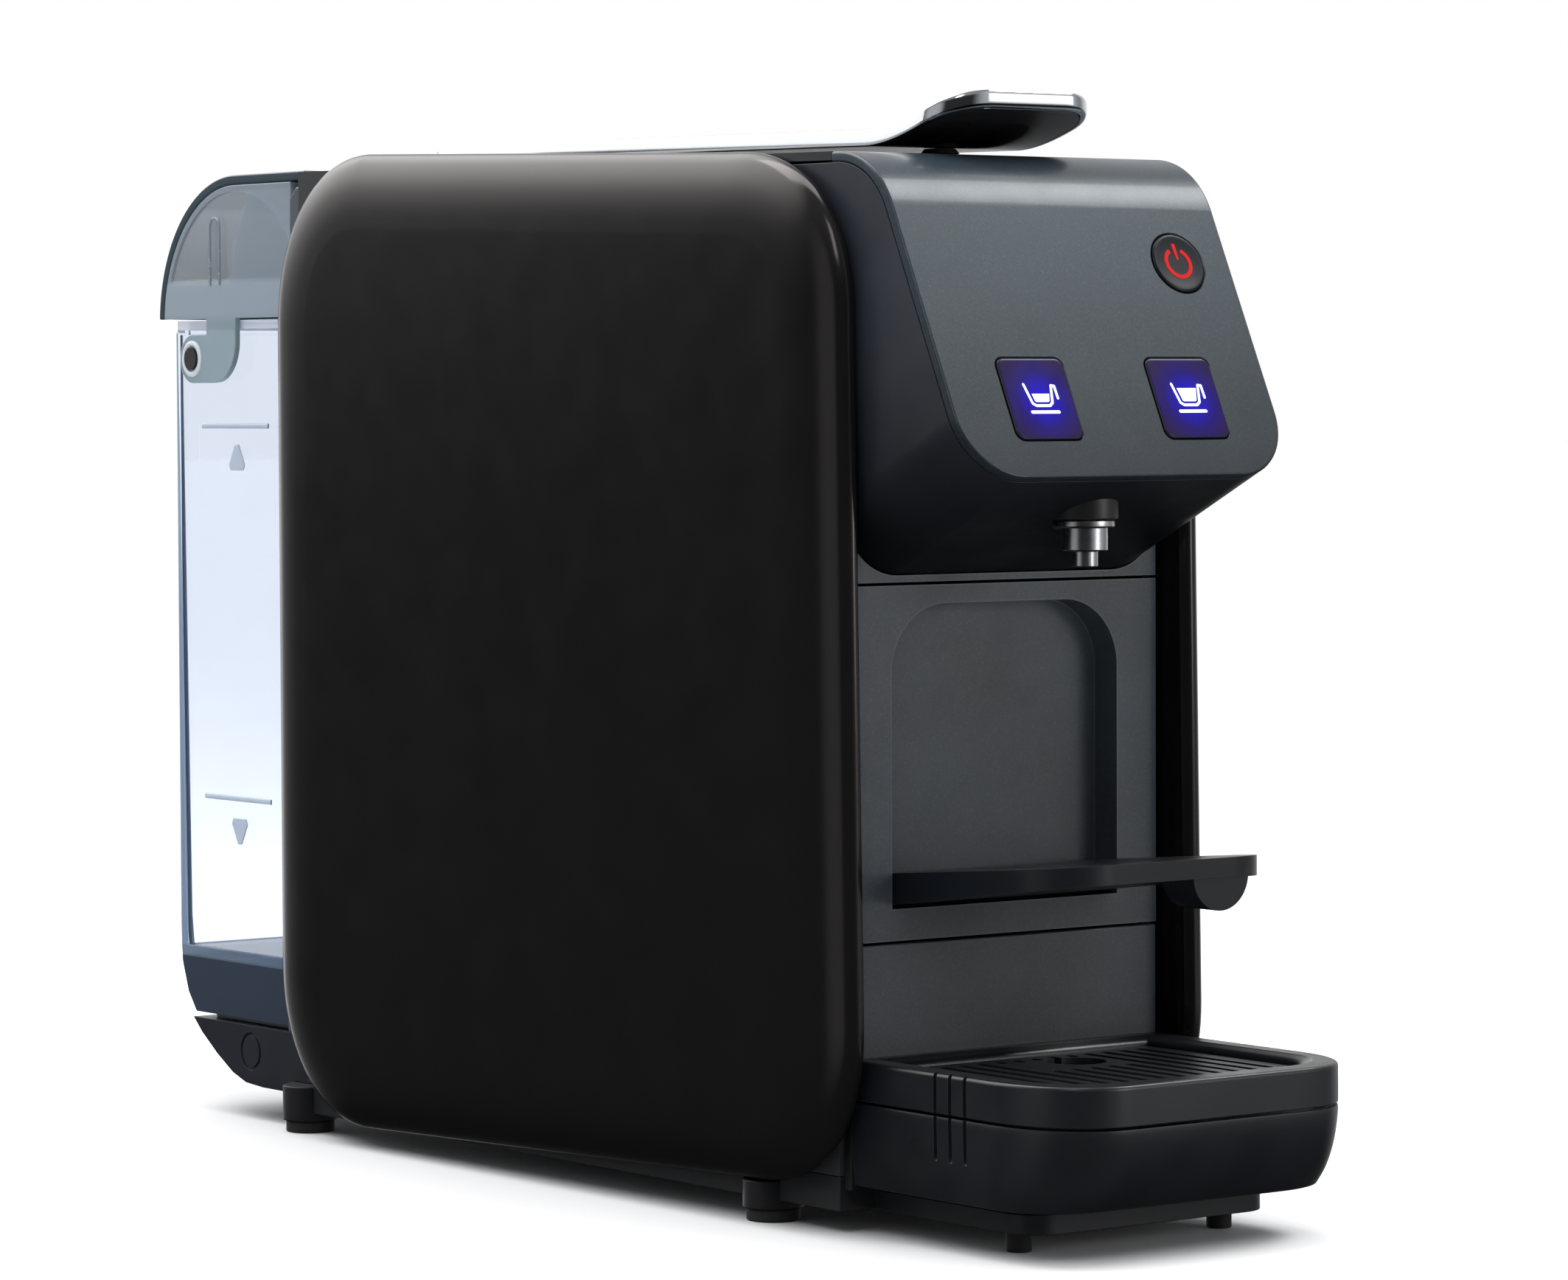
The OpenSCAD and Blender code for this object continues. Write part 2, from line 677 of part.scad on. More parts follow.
lid_c = [289.8, 228.2];
lid_r = 42;
module lid_round(r) {
    intersection() {
        translate(lid_c) circle(r);
        translate([lid_c[0] - 1, lid_c[1] - 60]) square([80, 120]);
    }
    translate([251.6, lid_c[1]]) square([lid_c[0] - 251.6, r]);
}

module lid_strip() color([0.12, 0.16, 0.19]) placed() along_x(-tank_w / 2 - 2.2, tank_w / 2 + 2.2) intersection() {
    difference() {
        lid_round(lid_r);
        lid_round(lid_r - 2.6);
        translate([250, 200]) square([30, lid_c[1] + lid_r - 2.6 - 200]);
    }
    translate([240, 229.5]) square([100, 60]);
}

module cheek_outline() {
    intersection() {
        lid_round(lid_r - 2.8);
        translate([259.2, 229.5]) square([80, 60]);
    }
    // hinge arm with its hook
    difference() {
        union() {
            translate(lid_pin_at) circle(7);
            translate([301.5, 223]) circle(12);
            translate([289.5, 223]) square([16, 9]);
            translate([301.5, 211]) square([11.7, 14]);
        }
        translate([305.5, 225]) square([20, 4.5]);
    }
}

module lid_shell() color([0.56, 0.61, 0.65, 0.5]) placed() {
    both() along_x(tank_w / 2 + 0.4, tank_w / 2 + 2.2) difference() {
        cheek_outline();
        translate(lid_pin_at) circle(2.36);
    }
    along_x(-tank_w / 2 - 0.5, tank_w / 2 + 0.5) intersection() {
        difference() {
            lid_round(lid_r - 2.8);
            lid_round(lid_r - 4.4);
        }
        translate([259.2, 240]) square([100, 60]);
    }
}

module tank_valve() color([0.9, 0.9, 0.88]) placed() {
    rod_z(7, 44.9, 47.5, 0, 284);
    rod_z(16, 47.6, 49.6, 0, 284);
    rod_z(4, 47, 58, 0, 284);
}

spring_turns = 4.5;
spring_path = [for (i = [0:45]) let (a = 360 * spring_turns * i / 45)
    [4.4 * cos(a), 284 + 4.4 * sin(a), 50.3 + 9 * i / 45]];

module valve_spring() color("silver") placed() tube(spring_path, 0.9, 6);

module valve_cage() color([0.9, 0.9, 0.88]) placed() difference() {
    rod_z(24, 47.4, 61.5, 0, 284);
    rod_z(20, 47, 60, 0, 284);
    rod_z(5, 50, 70, 0, 284);
    for (a = [0, 60, 120]) translate([0, 284, 0]) rotate(a) block([-3.5, -20, 49], [3.5, 20, 57]);
}

module tank_socket() color("black") placed() difference() {
    union() {
        rod_z(18, 30, 44, 0, 284);
        rod_z(24, 27.2, 29.6, 0, 284);
        rod_z(8, 27.6, 31, 0, 284);
    }
    rod_z(8, 33, 50, 0, 284);
    rod_z(4, 20, 50, 0, 284);
}

// ---------- water path and electrics ----------

module pump() color("gold") placed() {
    rod_y(42, 166, 204, -12, 54);
    rod_y(18, 150, 167, -12, 54);
    rod_y(8, 138, 151, -12, 54);
    rod_y(12, 203, 232, -12, 54);
    difference() {
        block([-37, 172, 29], [13, 198, 79]);
        rod_y(41.9, 170, 200, -12, 54);
    }
}

module pump_mounts() color("black") placed() for (y = [154, 214]) difference() {
    union() {
        rod_y(30, y, y + 7, -12, 54);
        block([-24, y, 9.4], [0, y + 7, 48]);
    }
    rod_y(y < 200 ? 18.2 : 12.2, y - 1, y + 8, -12, 54);
}

module flow_meter() color("white") placed() {
    rod_z(28, 90, 106, 26, 222);
    rod_y(6, 234, 240, 26, 98);
    rod_x(6, 2, 15, [222, 98]);
}

module thermoblock() color("silver") placed() difference() {
    union() {
        block([-30, 108, 152], [30, 188, 180]);
        for (x = [-24:12:24]) block([x - 2, 108, 180], [x + 2, 188, 186]);
        rod_y(8, 98, 109, 18, 166);
        rod_y(8, 98, 109, -18, 166);
        for (y = [120, 164]) block([-47.4, y, 149.6], [47.4, y + 12, 153]);
    }
    rod_y(4, 90, 180, 18, 166);
    rod_y(4, 90, 180, -18, 166);
}

module control_board() color("darkgreen") placed() {
    block([41.6, 116, 60], [43.2, 226, 144]);
    block([30, 124, 70], [41.8, 150, 90]);
    for (y = [160, 176]) rod_x(12, 22, 41.8, [y, 82]);
    block([29, 188, 64], [41.8, 206, 86]);
    block([34, 124, 104], [41.8, 140, 120]);
    block([37, 156, 112], [41.8, 200, 130]);
    for (y = [121, 221], z = [65, 139]) rod_x(6, 43, core_x - frame_t - 0.05, [y, z]);
}

// Corner cutting: each inner corner of a path becomes two softer ones
function soften(p) = concat(
    [p[0]],
    [for (i = [0:len(p) - 2], f = [0.25, 0.75]) p[i] * (1 - f) + p[i + 1] * f],
    [p[len(p) - 1]]
);

function unit(v) = v / norm(v);

// A tube swept along a path, with the given number of sides
module tube(path, d, sides) {
    n = len(path);
    aim = [0.31, 0.59, 0.74];
    rings = [for (i = [0:n - 1])
        let (t = unit(path[min(i + 1, n - 1)] - path[max(i - 1, 0)]), u = unit(cross(t, aim)), v = cross(t, u))
            for (k = [0:sides - 1]) path[i] + d / 2 * (cos(360 * k / sides) * u + sin(360 * k / sides) * v)];
    walls = [for (i = [0:n - 2], k = [0:sides - 1], half = [0, 1])
        let (a = i * sides + k, b = i * sides + (k + 1) % sides)
            half == 0 ? [a, b + sides, b] : [a, a + sides, b + sides]];
    ends = [[for (k = [0:sides - 1]) k], [for (k = [sides - 1:-1:0]) (n - 1) * sides + k]];
    polyhedron(rings, concat(walls, ends));
}

tank_feed = [[0, 284, 27], [0, 284, 16], [14, 266, 16], [14, 242, 16], [38, 242, 30], [38, 246, 90],
             [26, 248, 98], [26, 240.5, 98]];
suction = [[1.6, 222, 98], [-12, 222, 98], [-12, 240, 90], [-12, 245, 62], [-12, 240, 54], [-12, 232.4, 54]];
pressure = [[-12, 137.6, 54], [-12, 122, 54], [-18, 105.5, 70], [-18, 105.5, 146], [-18, 93, 158],
            [-18, 90, 166], [-18, 97.6, 166]];
brew_feed = [[18, 97.6, 166], [18, 90, 166], [16, 88, 176], [4, 94, 198], [0, 98, 219], [0, 84.6, 219]];

module water_hoses() color([0.9, 0.9, 0.88]) placed()
    for (path = [tank_feed, suction, pressure, brew_feed]) tube(soften(path), 5.6, 8);

// ---------- feet and screws ----------

module main_feet() color([0.08, 0.08, 0.09]) placed() both() {
    rod_z(15.4, 3.2, 10.6, foot_at[0][0], foot_at[0][1]);
    rod_z(15.4, 3.2, 13.2, foot_at[1][0], foot_at[1][1]);
}

module foot_pads() color("black") placed() both() for (at = foot_at) rod_z(13.6, 0, 3.2, at[0], at[1]);

module tray_feet() color("black") placed() both() rod_z(6.3, 0, 5.4, 32, -44);

module frame_screws() color("silver") placed() both() for (y = screw_ys) difference() {
    union() {
        rod_z(6.4, 201, 203, screw_x, y);
        rod_z(4, 190, 202, screw_x, y);
    }
    translate([screw_x, y, 202]) cylinder(d = 3, h = 3, $fn = 6);
}

left_panel();
right_panel();
left_frame();
right_frame();
base_plate();
rear_base();
tank_plinth();
back_cover();
top_cover();
head_shell();
front_cover();
upper_wall();
lower_wall();
bin_deck();
outlet_collar();
coffee_spout();
lever_skin();
lever_carrier();
lever_axle();
crank_pin();
lever_bumper();
brew_frame();
brew_chamber();
chamber_seal();
injection_needles();
clamp_carriage();
outlet_plate();
guide_pins();
coffee_funnel();
capsule_chute();
bin_door();
capsule_bin();
cup_shelf();
shelf_pin();
tray_bowl();
tray_frame();
drip_grille();
power_button();
left_brew_button();
right_brew_button();
button_board();
water_tank();
lid_strip();
lid_shell();
lid_pins();
tank_valve();
valve_spring();
valve_cage();
tank_socket();
pump();
pump_mounts();
flow_meter();
thermoblock();
control_board();
water_hoses();
main_feet();
foot_pads();
tray_feet();
frame_screws();
cord_gland();
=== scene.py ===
"""Pod coffee machine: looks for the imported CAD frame."""
import json
import math
import random

import bmesh
import bpy
from mathutils import Matrix, Vector

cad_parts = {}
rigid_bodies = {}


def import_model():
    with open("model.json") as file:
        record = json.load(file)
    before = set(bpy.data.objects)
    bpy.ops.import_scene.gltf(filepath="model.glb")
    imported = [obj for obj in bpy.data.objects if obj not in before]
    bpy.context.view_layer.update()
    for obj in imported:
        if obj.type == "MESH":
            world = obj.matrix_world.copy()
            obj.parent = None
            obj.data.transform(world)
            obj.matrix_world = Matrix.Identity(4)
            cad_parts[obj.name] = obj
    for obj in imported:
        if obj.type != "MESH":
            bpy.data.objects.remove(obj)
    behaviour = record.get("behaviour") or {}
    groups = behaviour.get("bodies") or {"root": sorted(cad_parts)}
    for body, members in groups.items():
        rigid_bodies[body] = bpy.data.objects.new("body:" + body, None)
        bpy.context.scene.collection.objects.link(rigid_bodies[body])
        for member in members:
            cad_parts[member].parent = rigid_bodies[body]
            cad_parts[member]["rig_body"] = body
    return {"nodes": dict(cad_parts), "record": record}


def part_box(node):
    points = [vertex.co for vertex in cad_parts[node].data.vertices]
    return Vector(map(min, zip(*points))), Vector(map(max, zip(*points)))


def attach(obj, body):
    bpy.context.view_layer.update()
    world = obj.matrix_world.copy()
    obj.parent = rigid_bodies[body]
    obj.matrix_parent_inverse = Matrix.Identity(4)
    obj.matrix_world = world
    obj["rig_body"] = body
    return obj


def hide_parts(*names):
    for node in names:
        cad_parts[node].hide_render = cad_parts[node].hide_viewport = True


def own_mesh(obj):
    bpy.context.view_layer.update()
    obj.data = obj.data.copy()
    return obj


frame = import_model()
NODES, RECORD = frame["nodes"], frame["record"]
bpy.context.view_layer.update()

MM = 0.001
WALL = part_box("lower_wall")[0].y  # the front wall plane
random.seed(7)


def at(x, y, z):
    """A point from millimetres, with y measured from the front wall plane."""
    return Vector((x * MM, WALL + y * MM, z * MM))


# ---------------------------------------------------------------- camera
# solved from the photo's edges: yaw, pitch and roll in degrees, place in metres, lens in mm
CAMERA_TURN = (36.765, 2.4876, -0.2261)
CAMERA_AT = (-0.8901, -1.22325, 0.2071)
CAMERA_LENS, CAMERA_SENSOR = 129.78, 36


def make_camera():
    yaw, pitch, roll = (math.radians(a) for a in CAMERA_TURN)
    ahead = Vector((math.sin(yaw) * math.cos(pitch), math.cos(yaw) * math.cos(pitch),
                    -math.sin(pitch)))
    right = Vector((math.cos(yaw), -math.sin(yaw), 0))
    up = right.cross(ahead)
    r = right * math.cos(roll) + up * math.sin(roll)
    u = up * math.cos(roll) - right * math.sin(roll)
    data = bpy.data.cameras.new("camera")
    data.lens, data.sensor_width = CAMERA_LENS, CAMERA_SENSOR
    data.clip_start, data.clip_end = 0.05, 60
    cam = bpy.data.objects.new("camera", data)
    bpy.context.scene.collection.objects.link(cam)
    turn = Matrix((r, u, -ahead)).transposed().to_4x4()
    cam.matrix_world = Matrix.Translation(CAMERA_AT) @ turn
    bpy.context.scene.camera = cam


make_camera()


# ---------------------------------------------------------------- materials
class Tree:
    """A small wrapper that makes and links shader nodes."""

    def __init__(self, name):
        self.mat = bpy.data.materials.new(name)
        self.mat.use_nodes = True
        self.nt = self.mat.node_tree
        self.nt.nodes.clear()
        self.out = self.add("ShaderNodeOutputMaterial")
        self.bsdf = self.add("ShaderNodeBsdfPrincipled")
        self.link(self.bsdf.outputs[0], self.out.inputs[0])
        self.coord = self.add("ShaderNodeTexCoord").outputs["Object"]

    def add(self, kind, **props):
        n = self.nt.nodes.new(kind)
        for k, v in props.items():
            setattr(n, k, v)
        return n

    def link(self, a, b):
        self.nt.links.new(a, b)

    def set(self, **values):
        for k, v in values.items():
            self.bsdf.inputs[k.replace("_", " ")].default_value = v

    def noise(self, scale, detail=3, rough=0.55, vector=None):
        n = self.add("ShaderNodeTexNoise")
        n.inputs["Scale"].default_value = scale
        n.inputs["Detail"].default_value = detail
        n.inputs["Roughness"].default_value = rough
        self.link(vector or self.coord, n.inputs["Vector"])
        return n.outputs["Fac"]

    def cells(self, scale):
        n = self.add("ShaderNodeTexVoronoi", feature="F1")
        n.inputs["Scale"].default_value = scale
        self.link(self.coord, n.inputs["Vector"])
        return n.outputs

    def flat(self):
        """Coordinates seen from the side, with the width taken out."""
        return self.stretched((0, 1, 1))

    def stretched(self, factors):
        n = self.add("ShaderNodeMapping")
        n.inputs["Scale"].default_value = factors
        self.link(self.coord, n.inputs["Vector"])
        return n.outputs[0]

    def ramp(self, value, stops):
        n = self.add("ShaderNodeValToRGB")
        e = n.color_ramp.elements
        while len(e) < len(stops):
            e.new(0.5)
        for i, (pos, col) in enumerate(stops):
            e[i].position = pos
            e[i].color = (*col, 1) if len(col) == 3 else col
        self.link(value, n.inputs[0])
        return n.outputs[0]

    def spread(self, value, low, high, start=0.3, end=0.7):
        n = self.add("ShaderNodeMapRange")
        for key, v in (("From Min", start), ("From Max", end), ("To Min", low), ("To Max", high)):
            n.inputs[key].default_value = v
        self.link(value, n.inputs["Value"])
        return n.outputs[0]

    def mix(self, fac, a, b, blend="MIX"):
        n = self.add("ShaderNodeMix", data_type="RGBA", blend_type=blend)
        for socket, v in ((n.inputs[0], fac), (n.inputs[6], a), (n.inputs[7], b)):
            if isinstance(v, bpy.types.NodeSocket):
                self.link(v, socket)
            else:
                socket.default_value = v if isinstance(v, (int, float)) else (*v, 1)
        return n.outputs[2]

    def math(self, op, a, b=0.0):
        n = self.add("ShaderNodeMath", operation=op)
        for socket, v in zip(n.inputs, (a, b)):
            if isinstance(v, bpy.types.NodeSocket):
                self.link(v, socket)
            else:
                socket.default_value = v
        return n.outputs[0]

    def edge(self, radius):
        """1 along outer and inner edges, 0 on flat faces."""
        bevel = self.add("ShaderNodeBevel", samples=6)
        bevel.inputs["Radius"].default_value = radius
        geo = self.add("ShaderNodeNewGeometry")
        dot = self.add("ShaderNodeVectorMath", operation="DOT_PRODUCT")
        self.link(bevel.outputs[0], dot.inputs[0])
        self.link(geo.outputs["Normal"], dot.inputs[1])
        return self.spread(dot.outputs["Value"], 1, 0, 0.80, 0.995)

    def bump(self, *layers):
        """Surface relief from (height, depth in metres) layers, each on top of the one before."""
        normal = None
        for height, depth in layers:
            n = self.add("ShaderNodeBump")
            n.inputs["Strength"].default_value = 1
            n.inputs["Distance"].default_value = depth
            self.link(height, n.inputs["Height"])
            if normal:
                self.link(normal, n.inputs["Normal"])
            normal = n.outputs[0]
        self.link(normal, self.bsdf.inputs["Normal"])


def plastic(name, color, rough, grain=(1500, 0.02), tint=0.18, vary=0.06, edge_wear_and_highlight=0.25, coat=0.0,
            speck=0.0, wave=0.012, level=0.5, rim=0.6, painted_shade_below=None, sheen=(1, 1, 1)):
    """Moulded plastic: fine grain, slow ripple, uneven colour and gloss, edges paler from wear and
    painted highlight.

    grain is (scale, height in mm), and fade is (start, end) in mm of height and the share of the
    colour left at the start; it is painted shade that darkens the colour towards the bottom.
    """
    t = Tree(name)
    slow, fine = t.noise(34, 4), t.noise(grain[0], 2)
    dark = [c * (1 - tint) for c in color]
    light = [min(1, c * (1 + tint)) for c in color]
    base = t.ramp(slow, [(0.3, dark), (0.7, light)])
    if speck:
        dots = t.ramp(t.cells(grain[0] * 1.6)["Color"], [(0.6, (0, 0, 0)), (1.0, (1, 1, 1))])
        base = t.mix(t.math("MULTIPLY", dots, speck), base, [min(1, c * 3.2 + 0.05) for c in color])
    # paler colour along edges: partly wear, partly a painted highlight
    if edge_wear_and_highlight:
        pale = [min(1, c * 1.8 + 0.02) for c in color]
        base = t.mix(t.math("MULTIPLY", t.edge(rim * MM), edge_wear_and_highlight), base, pale)
    # painted shade: the colour darkens from the end height down to the start height
    if painted_shade_below:
        height = t.add("ShaderNodeSeparateXYZ")
        t.link(t.coord, height.inputs[0])
        low = t.spread(height.outputs["Z"], painted_shade_below[2], 1, painted_shade_below[0] * MM, painted_shade_below[1] * MM)
        shade = t.add("ShaderNodeCombineXYZ")
        for i in range(3):
            t.link(low, shade.inputs[i])
        base = t.mix(1.0, base, shade.outputs[0], "MULTIPLY")
    t.link(base, t.bsdf.inputs["Base Color"])
    smudge = t.noise(70, 5, 0.65)
    t.link(t.spread(smudge, rough - vary, rough + vary), t.bsdf.inputs["Roughness"])
    t.bump((t.noise(150, 2), wave * MM), (fine, grain[1] * MM))
    t.set(IOR=1.5, Coat_Weight=coat, Coat_Roughness=0.06, Specular_IOR_Level=level,
          Specular_Tint=(*sheen, 1))
    return t.mat


def metal(name, color, rough, brushed=None, vary=0.04, wave=0.004):
    t = Tree(name)
    base = t.ramp(t.noise(60, 4), [(0.3, [c * 0.93 for c in color]), (0.7, color)])
    t.link(base, t.bsdf.inputs["Base Color"])
    grain = t.noise(900, 2, vector=t.stretched(brushed)) if brushed else t.noise(220, 4, 0.7)
    t.link(t.spread(grain, max(0.01, rough - vary), rough + vary), t.bsdf.inputs["Roughness"])
    t.bump((grain if brushed else t.noise(120, 2), wave * MM))
    t.set(Metallic=1.0)
    return t.mat


def clear(name, color, rough, weight=1.0, ior=1.45, tint=0.05, dust=0.04, wave=0.02,
          depth=None, shade_and_highlight_zones=()):
    """Clear or smoked plastic with faint flow lines and a little dust.

    Each zone, mostly painted shade or a painted highlight on one region, is (operation, (y, z),
    start, end, colour, weight), and it comes in from start to end. A seventh item keeps the zone
    to faces farther than that many mm from the middle plane.
    """
    t = Tree(name)
    slow = t.noise(28, 4)
    base = t.ramp(slow, [(0.3, [c * (1 - tint) for c in color]), (0.7, color)])
    t.link(base, t.bsdf.inputs["Base Color"])
    t.link(t.spread(t.noise(160, 6, 0.7), rough, rough + dust), t.bsdf.inputs["Roughness"])
    t.bump((t.noise(60, 2), wave * MM))
    t.set(Transmission_Weight=weight, IOR=ior)
    clearness = weight
    # zones paint colour and clearness on regions: mostly painted shade or a painted highlight
    for operation, (y, z), start, end, shade, through, *outer in shade_and_highlight_zones:
        level = t.add("ShaderNodeVectorMath", operation=operation)
        level.inputs[1].default_value = (0, y, z) if operation == "DOT_PRODUCT" else at(0, y, z)
        t.link(t.flat(), level.inputs[0])
        offset = WALL * y if operation == "DOT_PRODUCT" else 0
        mask = t.spread(level.outputs["Value"], 0, 1, start * MM + offset, end * MM + offset)
        for reach in outer:
            across = t.add("ShaderNodeSeparateXYZ")
            t.link(t.coord, across.inputs[0])
            far = t.math("ABSOLUTE", across.outputs["X"])
            mask = t.math("MULTIPLY", mask, t.spread(far, 0, 1, (reach - 0.1) * MM, reach * MM))
        base = t.mix(mask, base, shade)
        change = t.math("MULTIPLY", mask, through - (weight if clearness is weight else 0))
        if clearness is weight:
            clearness = t.math("ADD", change, weight)
        else:
            kept = t.math("MULTIPLY", clearness, t.math("SUBTRACT", 1.0, mask))
            clearness = t.math("ADD", kept, change)
    if shade_and_highlight_zones:
        t.link(base, t.bsdf.inputs["Base Color"])
        t.link(clearness, t.bsdf.inputs["Transmission Weight"])
    if depth:
        body = t.add("ShaderNodeVolumeAbsorption")
        body.inputs["Color"].default_value = (*depth[0], 1)
        body.inputs["Density"].default_value = depth[1]
        t.link(body.outputs[0], t.out.inputs["Volume"])
    return t.mat


MATS = {
    "panel": plastic("panel_black", (0.0055, 0.0053, 0.0054), 0.17, (1200, 0.0006), tint=0.05,
                     vary=0.025, edge_wear_and_highlight=0, wave=0.001, level=0.45, sheen=(1, 0.92, 0.90)),
    "frame": plastic("frame_grey", (0.02, 0.022, 0.026), 0.45),
    "base": plastic("base_black", (0.009, 0.010, 0.013), 0.45, (1400, 0.02), level=0.4),
    "rear_base": plastic("rear_base_black", (0.008, 0.010, 0.016), 0.36, (1400, 0.012), edge_wear_and_highlight=0.3,
                         level=0.35),
    "plinth": plastic("plinth_slate", (0.030, 0.042, 0.056), 0.42, (1500, 0.02), tint=0.25),
    "back_cover": plastic("back_cover_grey", (0.045, 0.055, 0.068), 0.45, (1500, 0.03)),
    "top_cover": plastic("top_cover_black", (0.014, 0.016, 0.019), 0.34, (1400, 0.012)),
    # painted shade darkens the head shell, front cover and wall towards their lower parts
    "head_shell": plastic("head_shell_black", (0.022, 0.025, 0.034), 0.36, (1400, 0.006), edge_wear_and_highlight=0.1,
                          level=0.3, painted_shade_below=(163, 235, 0.06)),
    "front_cover": plastic("front_cover_charcoal", (0.015, 0.023, 0.030), 0.33, (2400, 0.004),
                           tint=0.08, vary=0.03, speck=0.3, edge_wear_and_highlight=0.15, coat=0.12, wave=0.003,
                           level=0.42, painted_shade_below=(172, 240, 0.3), sheen=(0.90, 0.97, 1.0)),
    "wall": plastic("wall_grain", (0.031, 0.037, 0.044), 0.45, (1500, 0.04), speck=0.12, edge_wear_and_highlight=0.8,
                    rim=0.9, painted_shade_below=(34, 47, 0.14)),
    "collar": plastic("collar_black", (0.01, 0.01, 0.011), 0.4),
    "spout": metal("spout_steel", (0.62, 0.64, 0.67), 0.28),
    "lever_skin": metal("lever_chrome", (0.81, 0.85, 0.89), 0.10, vary=0.02, wave=0.001),
    "lever_carrier": plastic("lever_carrier_black", (0.01, 0.01, 0.011), 0.14, (1400, 0.004),
                             edge_wear_and_highlight=0.1, coat=0.6),
    "steel": metal("steel", (0.6, 0.6, 0.61), 0.24),
    "rubber": plastic("rubber", (0.016, 0.016, 0.017), 0.75, (1900, 0.05), level=0.3),
    "sheet_steel": metal("sheet_steel", (0.55, 0.56, 0.57), 0.34, brushed=(1, 0.04, 1), vary=0.08),
    "brew_chamber": plastic("chamber_grey", (0.2, 0.2, 0.21), 0.4),
    "carriage": plastic("carriage_black", (0.03, 0.03, 0.034), 0.45),
    "inner_black": plastic("inner_black", (0.012, 0.012, 0.014), 0.5, (1500, 0.03)),
    "shelf": plastic("shelf_black", (0.005, 0.0065, 0.009), 0.34, (1500, 0.008), edge_wear_and_highlight=0.2,
                     level=0.35),
    "tray": plastic("tray_black", (0.006, 0.0075, 0.010), 0.33, (1500, 0.008), edge_wear_and_highlight=0.3),
    "grille": plastic("grille_black", (0.009, 0.011, 0.014), 0.4, (1500, 0.02), edge_wear_and_highlight=0.3),
    "power_button": plastic("power_button_black", (0.004, 0.005, 0.008), 0.3, (1500, 0.001),
                            vary=0.02, edge_wear_and_highlight=0.5, wave=0.001, level=0.2),
    "brew_button": plastic("brew_button_black", (0.006, 0.006, 0.010), 0.3, (1500, 0.001),
                           vary=0.02, edge_wear_and_highlight=0.6, wave=0.001, level=0.4),
    "board": plastic("board_green", (0.01, 0.07, 0.03), 0.4, (700, 0.01), speck=0.2),
    "tank": clear("tank_clear", (0.915, 0.94, 0.985), 0.01, ior=1.2, tint=0.02, dust=0.02,
                  wave=0.001, depth=((0.74, 0.80, 0.92), 60), shade_and_highlight_zones=(
                      # painted shade: a dark band along the rear of the side walls, where they are
                      # seen edge-on
                      ("DOT_PRODUCT", (1, -0.0177), 320.8, 321.1, (0.19, 0.26, 0.36), 0.15, 42),
                      # darker and less clear below 47.5 mm
                      ("DOT_PRODUCT", (0, -1), -47.7, -47.3, (0.17, 0.22, 0.29), 0.5),
                      # painted highlight: the top rim above 226.4 mm is made paler
                      ("DOT_PRODUCT", (0, 1), 226.2, 226.6, (0.80, 0.84, 0.92), 0.5),
                      # darker still and nearly opaque below 44.4 mm
                      ("DOT_PRODUCT", (0, -1), -44.6, -44.2, (0.035, 0.046, 0.066), 0.08))),
    "lid_strip": clear("lid_strip_smoke", (0.040, 0.062, 0.078), 0.08, weight=0.25, wave=0.004),
    "lid_shell": clear("lid_shell_painted_shade", (0.90, 0.96, 1.0), 0.05, weight=0.9, ior=1.3,
                       wave=0.003, shade_and_highlight_zones=(
        # painted shade of the dark parts seen through the lid, inside one circle and outside the
        # next
        ("DISTANCE", (257, 240), 35.2, 34.6, (0.52, 0.59, 0.66), 0.75),
        ("DISTANCE", (289.8, 228.2), 37.2, 37.8, (0.36, 0.42, 0.48), 0.5),
        # darker below 240 mm and again below about 230 mm
        ("DOT_PRODUCT", (0, -1), -241, -239, (0.38, 0.45, 0.51), 0.4),
        ("DOT_PRODUCT", (0, -1), -231, -228.5, (0.34, 0.42, 0.46), 0.45))),
    "white_part": plastic("white_part", (0.72, 0.72, 0.7), 0.4, (1400, 0.01), edge_wear_and_highlight=0.0),
    "pump": plastic("pump_black", (0.03, 0.03, 0.035), 0.45),
    "cast_aluminium": metal("cast_aluminium", (0.55, 0.55, 0.56), 0.42, vary=0.08, wave=0.02),
    "hose": clear("hose_silicone", (0.86, 0.87, 0.86), 0.25, weight=0.5),
    "foot": plastic("foot_black", (0.008, 0.008, 0.010), 0.5, (1500, 0.03), level=0.3),
}
SLOT = {p["node"] if "node" in p else p["name"]: p["material_slot"] for p in RECORD["subparts"]}

for name, node in NODES.items():
    node.data.materials.clear()
    node.data.materials.append(MATS[SLOT[name]])


# ---------------------------------------------------------------- mesh helpers
def link(name, mesh, body, mats):
    obj = bpy.data.objects.new(name, mesh)
    bpy.context.scene.collection.objects.link(obj)
    for m in mats:
        mesh.materials.append(m)
    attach(obj, body)
    return obj


def smooth(mesh, angle=35):
    mesh.polygons.foreach_set("use_smooth", [True] * len(mesh.polygons))
    mesh.set_sharp_from_angle(angle=math.radians(angle))


def body_of(node):
    return NODES[node]["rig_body"]


SHARP_ANGLE, EDGE_STEPS = 32, 3  # an edge that turns more than this many degrees gets 3 steps


